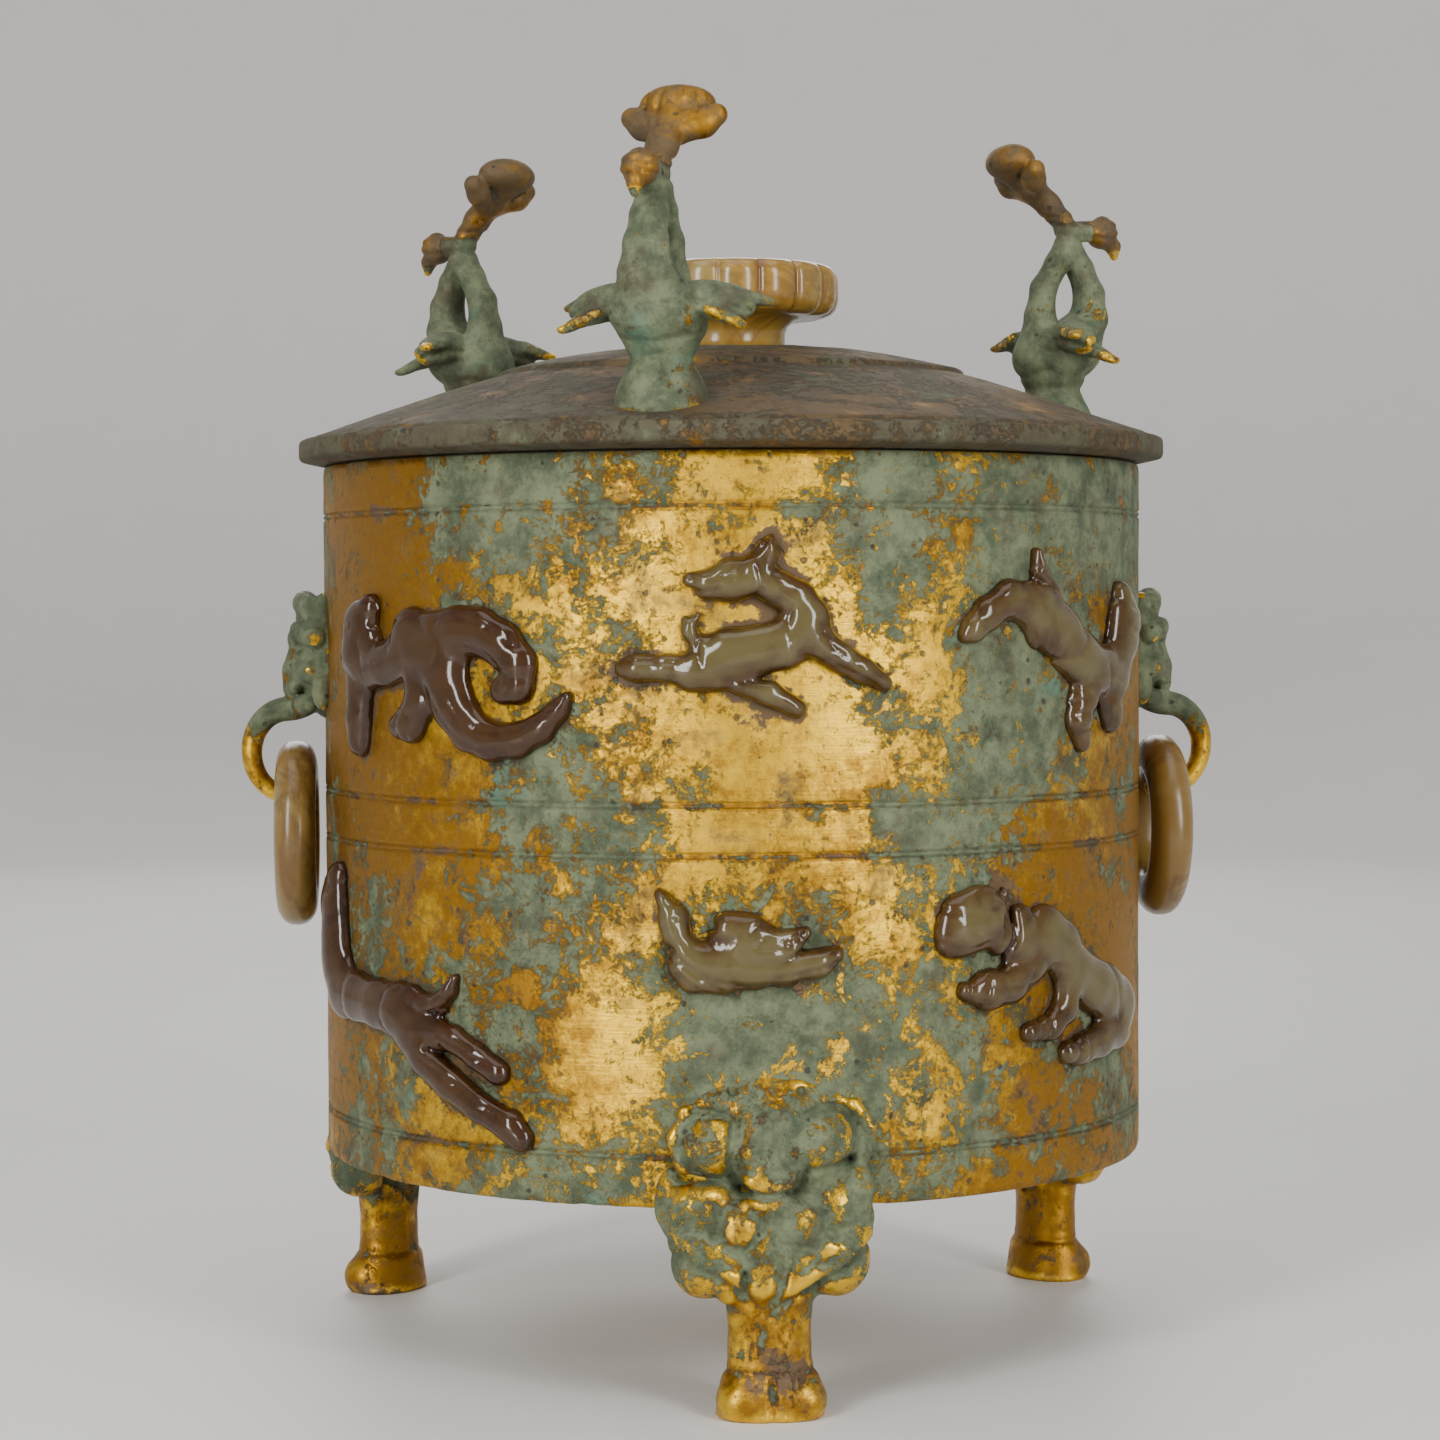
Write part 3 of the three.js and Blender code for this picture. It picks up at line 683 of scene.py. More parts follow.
# %% The shapes of the beasts
BEASTS = {
    "deer": dict(length=47, height=UPPER_BAND + 3.8, angles=(-2, 178), limbs=[
        [(-24, 20, 3.6), (-17, 18.5, 6), (-9, 20, 8.5), (-3, 21, 8)],
        [(0, 21, 7), (8, 17, 7), (15, 13, 7.5), (19, 6, 8.5), (20, -1, 9)],
        [(0, 27, 4), (4, 32, 3.6), (6, 36, 1.6)], [(4, 27, 4), (6, 30, 3)],
        [(17, 2, 9), (10, -4, 9.5), (0, -6, 9.5), (-10, -8, 10.5), (-16, -11, 10)],
        [(24, -4, 7), (32, -9, 5.6), (40, -13.5, 5), (48.5, -18.5, 3.6)],
        [(-6, -18, 5), (5, -22, 5), (15, -27.5, 4.2)], [(-16, -12, 10), (-23, -14, 8)],
        [(-23, -13.5, 7), (-33, -12.5, 5.4), (-44, -12.5, 5.4), (-49, -12.5, 4)],
        [(-21, -3, 4), (-24.5, 1, 3), (-26, 5.5, 2)], [(-23, 4, 1.8), (-21, 7.5, 1.4)],
    ], lines=[
        [(-27, 18), (-20, 15.5), (-13, 17)], [(-24, 21.5), (-22, 20)], [(-12, 22), (-8, 25), (-4, 23.5)],
        [(-12, 21.5), (-8, 20), (-4, 22.5)], [(-1, 12), (2.5, 18), (0, 26)], [(-1, 29), (3, 32.5), (4, 35)],
        [(13, 10), (10.5, 1), (14, -7), (22, -10)], [(23, 4), (26, -4), (33, -9)],
        [(30, -12), (37, -15), (45, -19.5)],
        [(-10, -17), (0, -17.5), (12, -14.5), (24, -13)], [(-30, -10.5), (-40, -10), (-50, -10)],
        [(-20, 2), (-21.5, -5), (-20, -12)],
    ], eyes=[(-8, 22.5, 1.6)]),
    "duck": dict(length=32, height=LOWER_BAND + 9.4, angles=(-2.5, 177), limbs=[
        [(-51, 34, 3.2), (-48, 30, 4.2), (-45, 24, 7)], [(-43, 19, 9.5), (-42, 13, 9)],
        [(-40, 9, 6.5), (-36, 2, 8), (-30, -4, 11), (-18, -6, 14), (0, -6, 13), (18, -7, 10.5), (36, -5, 8),
         (45, 0, 5.5)],
        [(-38, -6, 9), (-32, -12, 9), (-16, -16, 6)],
        [(-12, 12, 13), (-2, 10, 13), (10, 5, 10), (20, 8, 6), (29, 13, 2.8)],
        [(-8, 4, 11), (8, 1, 9), (20, 4, 6), (29, 11, 2.5)],
    ], lines=[
        [(-43, 4), (-36, -5), (-24, -12), (-10, -16), (8, -17), (28, -14)],
        [(-4, -4), (10, -5), (22, -2), (31, 8)],
        [(2, 5), (14, 3), (26, 9)], [(4, 9), (14, 7), (26, 12)], [(-19, 8), (-11, 7)], [(-18, 11), (-10, 10)],
        [(-1, 12), (1, 17), (6, 16)], [(-44, -3), (-36, -6), (-27, -13), (-16, -19)], [(-40, -9), (-30, -17)],
        [(44, 1), (46, 6)], [(12, -12), (30, -9), (44, -4)],
    ], cuts=[[(-25, 22), (-24.5, 18), (-21, 15)]], eyes=[(-39, 20.5, 2.8)]),
    "curled_beast": dict(length=60, height=UPPER_BAND - 1.7, angles=(-47.5, 132.5), limbs=[
        [(-31, 17, 5), (-36, 12, 8.5), (-38, 3, 10)], [(-32, 8, 7), (-27, 3, 4.5)],
        [(-33, -1, 8), (-22, 0, 7), (-12, 3, 8)], [(-37, -6, 7), (-38, -16, 6), (-38, -24, 5)],
        [(-8, 9, 9), (-3, 5, 11), (4, 3, 12)], [(-10, 2, 6), (-18, 1, 5)],
        [(-5, -3, 6), (-4, -11, 6), (-9, -17.5, 6.2), (-14, -18.5, 4.5)],
        [(4, 8, 9), (12, 10, 8), (20, 10, 7.4), (28, 6.5, 7), (33.5, 0.5, 6.4), (33.5, -6, 5.4), (29, -7, 5)],
        [(7, -4, 8.6), (10, -12, 8), (16, -19, 7), (24, -22.5, 6), (33, -22, 5.4), (41, -18.5, 4.6),
         (47, -13, 3.4), (50, -9, 2)],
    ], lines=[
        [(11, -7), (15, -15), (24, -20), (34, -19.5), (42, -15.5), (48, -10.5)],
        [(5, -10), (11, -19), (22, -25.5), (36, -24)],
        [(6, 13), (16, 14.5), (27, 11), (35, 5)], [(12, 6), (20, 6.5), (26.5, 2.5), (29, -1)],
        [(25.5, -4), (28, -1.5), (32.5, -2), (33.5, -6), (30.5, -8.5), (28, -6.5), (30, -4.5)],
        [(-15, 4), (-15, 11), (-10, 15), (-4, 15), (2, 11)], [(-10, -14), (-13, -22)], [(-6, -15), (-8, -23)],
        [(-27, 12), (-33, 8), (-29, -1)], [(-45, 6), (-40, -2), (-34, -5)], [(5, 13), (9, 7), (6, -1)],
    ], eyes=[(-36, 12, 1.8)]),
    "leaping_beast": dict(length=56, height=UPPER_BAND - 1.2, angles=(44, -136), limbs=[
        [(-45, 8, 2.6), (-42, 10, 4.4), (-36, 15, 5.6), (-27, 20, 6), (-15, 17, 9)],
        [(-8, 21, 4), (-14, 29, 3), (-15, 35, 1.6)], [(-10, 12, 10.5), (-2, 8, 10)],
        [(2, 4, 9.5), (8, 1, 9), (15, -2, 9)],
        [(22, -4, 9.5), (30, -6, 11)], [(34, 0, 9), (39, 7, 10.5), (41, 12, 11), (39, 21, 5)],
        [(15, -6, 7), (9, -14, 6.4), (7, -20, 5.6), (9, -28, 3)], [(28, -14, 7), (30, -20, 5.5)],
        [(6, -2, 6), (18, -6, 7)],
    ], lines=[
        [(-18, 8), (-12, 0.5), (-2, -0.5), (6, 5), (6, 13)],
        [(19, -2), (21, -12), (31, -16), (41, -10), (42, -2)],
        [(-10, 23), (-15, 25)], [(-12, 28), (-17, 30)], [(34, 12), (39, 8), (47, 8)],
        [(34, 20), (40, 16), (48, 18)],
        [(3, -14), (12, -12)], [(3, -18), (12, -17)], [(5, -23), (12, -22)], [(27, -20), (28, -26)],
        [(31, -20), (32, -26)],
    ], eyes=[(41, 18, 1.8)]),
    "running_horse": dict(length=60, height=LOWER_BAND - 1.6, angles=(-54, 142), limbs=[
        [(-43, 35, 5.5), (-45, 27, 8), (-44, 16, 8.5), (-42, 6, 8.5)],
        [(-48, 30, 4), (-50, 34, 2.6)], [(-44, 10, 9), (-36, 0, 9), (-26, -1, 8), (-12, -2, 8), (0, -3, 9),
                                         (8, -7, 9)],
        [(6, 2, 4), (13, -0.5, 3.6), (19, 1, 3.2), (23, 5, 2.4), (25, 9, 1.4)],
        [(8, -9, 9), (13, -15, 7.5), (22, -22.5, 5.6), (34, -29, 5), (45, -34, 5), (49, -37.5, 4.4)],
        [(15, -7, 4.5), (24, -9.5, 4.2), (33, -14, 4), (41, -18.5, 4.2)],
    ], lines=[
        [(-3, 5), (-5, -5), (0, -14), (8, -20)], [(13, -15), (22, -20), (34, -27), (44, -32)],
        [(20, -8), (30, -12), (38, -16)],
        [(-29, 6), (-27, -2), (-31, -9)], [(8, 0), (15, -3), (22, 0)],
    ], cuts=[[(16, -13), (26, -17), (36, -23.5), (45, -27)]], eyes=[(-43, 32, 1.8)]),
    "lion": dict(length=58, height=LOWER_BAND + 2.4, angles=(41.5, -147), limbs=[
        [(-42, 15, 6.5), (-38, 19, 10), (-32, 21, 10.5)], [(-24, 14, 6), (-18, 14, 8)],
        [(-20, 28.5, 3.6), (-15, 28.5, 2.6)], [(-20, 21, 3), (-15, 22, 2.6)],
        [(-17, 13, 8.5), (-5, 14, 9.5), (2, 11, 9)],
        [(2, 10, 8), (10, 2, 8.5), (22, -4, 9), (30, -7, 9.5), (40, -11, 9.5)],
        [(3, 9, 8), (7, 0, 6), (5, -10, 5), (-2, -15, 4.5), (-12, -16, 3.4)],
        [(-6, 8, 6), (-12, 5, 6), (-20, 0, 6.5), (-29, -1.5, 6.5), (-37, -1.5, 3.6)],
        [(40, -13, 9), (38, -19, 7.5), (26, -22, 6), (14, -24, 5), (7, -24, 4)],
    ], lines=[
        [(-50, 15), (-43, 12.5), (-36, 12), (-30, 14)], [(-26, 24.5), (-24, 19), (-26, 12)],
        [(-34, 28), (-29, 29.5), (-25, 27)],
        [(-46, 24), (-41, 21.5), (-36, 23)], [(-16, 15), (-12, 8), (-14, 2)],
        [(-11, 23), (-14, 13), (-8, 5), (2, 4)], [(29, 2), (30, -10), (36, -19), (46, -20)],
        [(-8, -12), (-10, -20)],
        [(-4, -11), (-5, -19)], [(-33, -6), (-30, 3)], [(-38, -4), (-36, 3)], [(10, -19), (9, -28)],
        [(15, -20), (14, -29)],
        [(-14, -1), (-22, 0), (-32, -1)],
    ], cuts=[[(-21.5, 32), (-20.5, 25), (-20.5, 16), (-25, 6)], [(-30.5, 24), (-28.5, 24)]],
    eyes=[(-29.5, 24, 3)]),
}


# %% Carve the beasts
BEAST_RISE, BEAST_CELL = 3.7, 0.46


def carve_beast(shape):
    unit = shape["length"] / 100
    clay = Clay((-56, -0.5 / unit, -42), (56, 4.4 / unit, 44), unit, BEAST_CELL, relief=BEAST_RISE)
    for chain in shape["limbs"]:
        clay.limb(*[(x, 0, z, radius) for x, z, radius in chain], blend=1.1)
    for line in shape["lines"]:
        clay.carve(line, 0.34, 0.5)
    for line in shape.get("cuts", []):
        clay.carve(line, 0.55, 1.6)
    for x, z, radius in shape["eyes"]:
        clay.ring(x, z, radius, 0.35, 0.4)
    x, out, z = clay.cells()
    clay.field = np.maximum(clay.field, -0.5 - out).astype(np.float32)
    return clay


settings = []
for name, shape in BEASTS.items():
    clay = carve_beast(shape)
    points, faces, proud = clay.skin(3)
    # How high each point stands over the wall: the jade paints high places pale as a painted highlight and
    # low places and edges dark as a painted shade.
    proud = np.clip(0.25 * proud + 0.75 * points[:, 1] / 3.6, 0, 1)
    stone = brown_jade if name in ("curled_beast", "running_horse") else dark_jade
    level = int(round((0.2 - clay.low[1]) / clay.cell))
    outline = spread((clay.field[:, level, :] < 0).astype(np.float32), 3)
    for side, angle in zip(("front", "back"), shape["angles"]):
        placed = points + (0, 0, shape["height"])
        place_piece("jade_" + name + "_" + side, wrapped(placed, angle), faces, stone,
                    [name + "_" + side], {"proud": proud})
        settings.append((clay.low[0], clay.low[2] + shape["height"], clay.cell, outline, angle))

# %% [markdown]
# ## The wall
#
# The wall is one turned shell, closed inside. Its profile carries four fine double lines: two
# thin cuts with a raised thread between them. Two notes ride on its points. One says how near a
# jade setting is, where a brown crust has grown, and one where the double lines run.

# %% Turn the wall
WALL_COLUMNS = 480
WALL_INSIDE, FLOOR_TOP = 76.5, 39.7


def wall_profile():
    half_cut = [(0.25, 0.1), (0.5, 0.5), (0.75, 0.05), (1.1, 0)]
    cut = [(-step, depth) for step, depth in reversed(half_cut)] + [(0, 0)] + half_cut
    rows = [(WALL_RADIUS, h) for h in np.arange(WALL_BOTTOM + 1.4, WALL_TOP - 1.2, 1.3)
            if min(abs(h - g) for g in GROOVES) > 1.5]
    rows += [(WALL_RADIUS - depth, g + step) for g in GROOVES for step, depth in cut]
    rows.sort(key=lambda row: row[1])
    start = [(radius, WALL_BOTTOM) for radius in (0, 40, 70, 79)] + [(79.7, WALL_BOTTOM + 0.3)]
    top = [(79.8, WALL_TOP - 0.3), (79.3, WALL_TOP), (77.1, WALL_TOP), (WALL_INSIDE, WALL_TOP - 0.6)]
    inside = [(WALL_INSIDE, height) for height in (120, 60, FLOOR_TOP + 2.3)]
    inside += [(radius, FLOOR_TOP) for radius in (74.2, 40, 0)]
    return start + rows + top + inside


profile = wall_profile()
points, faces = turned(profile, WALL_COLUMNS)
radius = np.hypot(points[:, 0], points[:, 1])
outer = radius > WALL_RADIUS - 1.5
swell = 0.1 * ripple(points, 16, 1) + 0.06 * ripple(points, 5, 2) - 0.12
radial = points / np.maximum(radius, 1)[:, None] * (1, 1, 0)
points = points + radial * (swell * outer)[:, None]
low_edge = outer & (points[:, 2] < WALL_BOTTOM + 1.6)
points[:, 2] += low_edge * 0.25 * np.maximum(ripple(points, 3, 3), 0)
around = np.degrees(np.arctan2(points[:, 0], -points[:, 1]))
setting = np.zeros(len(points))
for low_x, low_z, cell, outline, angle in settings:
    arc = np.radians((around - angle + 180) % 360 - 180) * WALL_RADIUS
    i = np.round((arc - low_x) / cell).astype(int)
    k = np.round((points[:, 2] - low_z) / cell).astype(int)
    near = outer & (i >= 0) & (i < outline.shape[0]) & (k >= 0) & (k < outline.shape[1])
    setting[near] = np.maximum(setting[near], outline[i[near], k[near]])
setting = np.clip(setting * 2.5, 0, 1)
groove = np.max([np.exp(-((points[:, 2] - g) / 0.8) ** 2) for g in GROOVES], axis=0)
place_piece("wall", points, faces, gilded_wall, ["vessel_body"],
            {"setting": setting, "groove": groove})

# %% [markdown]
# ## The lid
#
# The lid is a low dome over a narrow upright rim. A fine groove runs just behind the rim's top
# edge and one step rings the dome half way in. Below, a collar drops inside the mouth.

# %% Turn the lid
LID_COLUMNS = 360
KNOB_SEAT, DOME_RISE = 13, 17.3


def dome(radius):
    """The height of the lid's top side at a radius."""
    reach = min((LID_RADIUS - radius) / (LID_RADIUS - KNOB_SEAT), 1)
    return RIM_TOP + DOME_RISE * math.sin(reach * math.pi / 2) ** 1.1


def lid_profile():
    rim = LID_RADIUS - 0.15
    under = [(0, LID_TOP - 3), (KNOB_SEAT, LID_TOP - 3.3), (46, dome(46) - 3), (72.5, dome(73.3) - 3.2)]
    collar = [(73.3, -4.6), (73.8, -5), (75.4, -5), (75.9, -4.4), (75.9, 0.4), (80, 0.4)]
    under += [(r, WALL_TOP + up) for r, up in collar]
    side = [(1.2, 0.05), (0.3, 0.25), (0, 0.8), (0, 2)]
    band = [(rim - inward, RIM_BOTTOM + up) for inward, up in side]
    lip = [(0, -0.8), (0.2, -0.25), (0.7, 0), (1.5, 0.05), (1.8, -0.4), (2.1, -0.35), (2.4, 0.35)]
    band += [(rim - inward, RIM_TOP + up) for inward, up in lip]
    rows = [(r, dome(r)) for r in np.arange(rim - 3.2, 46.6, -1.6)]
    step = [(r, dome(r) + up) for r, up in ((46.4, 0), (46.1, 0.15), (45.7, 0.75), (45.2, 0.9))]
    inner = [(r, min(dome(r) + 0.9, LID_TOP)) for r in np.arange(44, 1, -1.8)]
    return under + band + rows + step + inner + [(0, LID_TOP)]


points, faces = turned(lid_profile(), LID_COLUMNS)
top_side = points[:, 2] > RIM_TOP + 0.2
points[:, 2] += top_side * (0.12 * ripple(points, 9, 5) + 0.06 * ripple(points, 3, 6) - 0.15)
place_piece("domed_lid", points, faces, lid_bronze, ["lid"])

# %% [markdown]
# ## The knob and the rings
#
# The knob is a thick jade disc with sixteen rounded petals on a flared stem. The petals are
# pressed into a turned form: each column is drawn in by how far it is from its petal's middle.
# The rings are thick lenses with a hole, which hang with the hole facing the wall.

# %% Turn the knob and the rings
knob_low, knob_high = size_of("knob")
KNOB_RADIUS, PETALS, PETAL_COLUMNS, PETAL_DIP = 21.4, 16, 18, 1.5
base, disc, crown = knob_low[2], knob_low[2] + 6.6, knob_high[2]
stem = [(0, 0), (10.4, 0), (10.9, 0.4), (10.8, 2), (10.8, 3.6), (11.3, 5), (12.6, 6.1)]
under = [(14.6, 0.1), (16.5, 0.1), (18.4, 0.2), (19.9, 0.8), (20.8, 1.7), (21.3, 3.2)]
profile = [(r, base + up) for r, up in stem] + [(r, disc + up) for r, up in under]
profile += [(KNOB_RADIUS, z) for z in np.linspace(disc + 4.2, crown - 3.4, 6)]
shoulder = [(21.25, 2.2), (20.7, 1.2), (19.9, 0.55), (18.8, 0.2), (17.4, 0.05), (15, 0), (11, 0), (6, 0),
            (0, 0)]
profile += [(r, crown - down) for r, down in shoulder]
points, faces = turned(profile, PETALS * PETAL_COLUMNS)
radius = np.hypot(points[:, 0], points[:, 1])
turn = np.arctan2(points[:, 0], -points[:, 1]) + math.pi / PETALS
across = (turn * PETALS / np.pi) % 2 - 1
dip = 1 - np.sqrt(np.clip(1 - (0.985 * across) ** 2, 0, 1))
weight = np.clip((radius - 14.5) / 6, 0, 1) ** 1.3
points[:, :2] *= (1 - PETAL_DIP * dip * weight / np.maximum(radius, 1))[:, None]
# Lower in the grooves between the petals, which the jade paints darker there as a painted shade, with a
# little random ripple.
proud = 0.55 - 0.35 * dip * weight + 0.1 * ripple(points, 4, 8)
place_piece("knob_jade", points, faces, honey_jade, ["knob"], {"proud": proud})

ring_low, ring_high = size_of("ring_right")
turn = np.linspace(0, 2 * np.pi, 40, endpoint=False)
across, thick = np.cos(turn), np.sin(turn)
RING_MIDDLE, RING_HALF_WIDTH, RING_HALF_THICKNESS, RING_COLUMNS = 13.7, 4.35, 3.95, 112
radii = RING_MIDDLE + RING_HALF_WIDTH * np.sign(across) * np.abs(across) ** 0.75
halves = RING_HALF_THICKNESS * np.sign(thick) * np.abs(thick) ** 0.8 * (1 - 0.16 * across)
profile = [(r, h) for r, h in zip(radii, halves)] + [(radii[0], halves[0])]
flat_points, faces = turned(profile, RING_COLUMNS)
flat_points += 0.1 * ripple(flat_points, 6, 9)[:, None] * (1, 1, 0)
middle = (ring_low + ring_high) / 2
for side, angle in (("right", 90), ("left", -90)):
    x, y, z = flat_points.T
    upright = np.stack([x, -z - middle[0], y + middle[2]], axis=1)
    place_piece("jade_ring_" + side, spun(upright, angle), faces, ring_jade, ["ring_" + side])

# %% [markdown]
# ## Bear legs
#
# Each leg is a squatting bear: a broad masked head against the wall, arms that meet at the
# chest, knees drawn up, and one thick foot with two toes. Sizes are hundredths of the leg's
# height. Above the wall's bottom edge the clay ends half a millimetre inside the wall.

# %% Model the bear leg
LEG_UNIT, LEG_CELL = 0.57, 0.46
COLUMN_FLAT = (1, 0.74, 1)


def bear_leg():
    clay = Clay((-40, -16, 0), (40, 14, 108), LEG_UNIT, LEG_CELL)
    clay.lump((-1, -2, 85), (32, 6.5, 20), 0.8)
    clay.lump((0, 0.5, 83), (24, 7, 16), 1.4)
    clay.lump((-18, 2.4, 84), (10, 7.5, 9), 1.0)
    clay.lump((12, 2.8, 83), (13, 7.6, 9), 1.0, 24)
    clay.limb((-28, 1, 77, 3.4), (-31, 1, 86, 3), (-27, 1, 93, 2.6), blend=0.7)
    clay.limb((27, 1, 80, 3.4), (29.5, 1, 88, 3), (25, 1, 95, 2.6), blend=0.7)
    clay.limb((-4, 4, 90, 5), (-5, 6, 82, 5.6), (-3, 6.5, 76, 6), (-2, 7, 72, 6.6), blend=0.7)
    clay.lump((-2, 7.8, 74), (8.6, 6, 5), 0.6)
    clay.limb((-7, 7.5, 67, 3.4), (-2, 9, 66.5, 4), (3, 7.5, 67, 3.4), blend=0.6)
    clay.limb((-2, 7, 64, 5), (-0.5, 5, 59.5, 2.6), blend=0.8)
    clay.lump((26, 1, 71), (5, 7, 8), 0.6, 8)
    clay.lump((-32, -1, 67), (5, 7, 10), 0.6, -8)
    clay.lump((-22, 2, 63), (12, 9.5, 11), 0.9)
    clay.lump((19, 2, 62.5), (11, 9.5, 10.5), 0.9)
    clay.lump((0, 1, 53), (24, 10.5, 19), 1.2)
    clay.lump((-10.5, 7, 59), (6.4, 5.6, 7.5), 0.8, -10)
    clay.lump((6.5, 7, 60.5), (7.6, 5.8, 7.2), 0.8, 18)
    clay.limb((-29, 3, 61, 5.5), (-26, 6, 55, 5.5), (-19, 8.2, 52, 5), (-14, 8.6, 49.5, 4), blend=0.9)
    clay.limb((25, 3, 61, 5.5), (23, 6, 56, 5.5), (16, 8.2, 52, 5), (11, 8.6, 49, 4), blend=0.9)
    clay.lump((-21, 1.5, 47.5), (10.5, 10.4, 11), 0.9)
    clay.lump((19, 1.5, 48.5), (10.5, 10.4, 12), 0.9)
    clay.limb((-4, 7.5, 46, 5.6), (-4, 7.5, 42, 5.6), (-3.5, 6, 35.5, 2.4), blend=0.6)
    clay.limb((-13, 7, 46, 5.5), (-13, 5, 40, 5), blend=0.9)
    clay.limb((9, 8, 47, 5.5), (4, 8, 41, 4.6), (0, 6, 35, 3), blend=0.7)
    clay.limb((-1.5, 0, 40, 15), (-1.5, 0, 34, 13), (-1.5, 0, 22, 12.6), (-1.5, 0, 14.5, 13.2),
              squash=COLUMN_FLAT)
    clay.limb((-1.5, 0, 13, 13.2), (-1.3, 0, 8, 15.6), (-1.3, 0, 0, 17.2), squash=COLUMN_FLAT, blend=0.5)
    clay.lump((-9.6, 3.2, 5.5), (8.3, 9.4, 8.4), 0.7)
    clay.lump((7.2, 3.2, 5.5), (8.3, 9.4, 8.4), 0.7)
    clay.limb((-1.3, 14, 0, 2.4), (-1.3, 13, 6, 2.0), (-1.3, 10.5, 12.5, 1.2), cut=True, blend=0.6)
    for side in (-1, 1):
        clay.limb((side * 10.5 - 2, 12, 100, 1.6), (side * 10.5 - 2, -4, 100, 1.3), cut=True, blend=0.4)
    carve_bear(clay)
    x, out, z = clay.cells()
    clay.field += 0.5 * np.exp(-((z - 14.6 * LEG_UNIT) / 0.55) ** 2)
    clay.field = np.where(z > WALL_BOTTOM, np.maximum(clay.field, -0.6 - out), clay.field)
    clay.field = np.maximum(clay.field, -z + 0.02).astype(np.float32)
    return clay


# Each cut is a line of x and z, its width and its depth
FACE_CUTS = [
    ([(-12, 91), (-13.5, 83), (-13, 75), (-9, 69.5)], 0.9, 1.0),
    ([(8, 80), (9.5, 75), (5.5, 69.5)], 0.7, 0.8),
    ([(9, 93), (18, 96.5), (26, 92), (29, 82)], 0.6, 0.6), ([(10, 76.5), (16, 77), (24, 79)], 0.8, 0.8),
    ([(-30, 76), (-34, 84), (-31, 92), (-22, 94.5), (-14, 93)], 0.6, 0.6),
    ([(-30, 73.5), (-22, 72.5), (-14, 74)], 0.8, 0.7), ([(-8, 70.4), (-2, 69.4), (4, 70.4)], 0.6, 1.1),
    ([(-21, 90), (-16, 86), (-17, 80)], 0.5, 0.35),
]
LIMB_CUTS = [
    ([(-18, 68), (-16, 61), (-19, 55.5)], 0.7, 0.7), ([(14.5, 67), (14, 60), (17, 55.5)], 0.7, 0.7),
    ([(-4, 64), (-4.5, 58), (-9, 52.5)], 0.6, 0.7), ([(0.5, 60), (-1, 54.5), (8, 53)], 0.6, 0.7),
    ([(-31, 56), (-24, 47), (-15, 44), (-10, 38)], 0.6, 0.7),
    ([(28, 54), (20, 46), (12, 42), (4, 38), (-1, 33)], 0.6, 1.0),
    ([(-9.5, 46), (-9.5, 40), (-5, 34)], 0.5, 0.6), ([(1.5, 47), (2, 41), (-1.5, 35.5)], 0.5, 0.6),
]


def carve_bear(clay):
    for line, width, depth in FACE_CUTS + LIMB_CUTS:
        clay.carve(line, width, depth)
    for step in (0, 3.4, 6.8):
        clay.carve([(-21 + step, 52 - step * 0.3), (-15 + step, 47 - step * 0.3)], 0.4, 0.6)
        clay.carve([(18.5 - step, 51.5 - step * 0.3), (12 - step, 47 - step * 0.3)], 0.4, 0.6)


LEG_FREE, LEG_REACH = 6.2, 7.3
points, faces, proud = bear_leg().skin()
points[:, 1] += 0.3 * ripple(points, 2.4, 21) * np.clip((points[:, 2] - 14) / 8, 0, 1)
points[:, 1] = held(points[:, 1], LEG_FREE, LEG_REACH)
high = points[:, 2] > WALL_BOTTOM + 4
proud[high] *= np.clip(0.45 + points[high, 1] / 7, 0, 1)
for side, angle in (("front", 0), ("right", 120), ("left", -120)):
    placed = wrapped(points, angle)
    worn = proud + 0.06 * ripple(placed, 4, 11)
    place_piece("bear_leg_" + side, placed, faces, leg_bronze, ["leg_" + side],
                {"proud": worn})

# %% [markdown]
# ## Birds
#
# Three birds stand on the lid. Each has a round pedestal foot, short wings with two feather
# tips, a long neck that a strut props from behind, a hooked beak and a crest of three lobes.

# %% Model the bird
BIRD_UNIT, BIRD_CELL = 0.57, 0.43


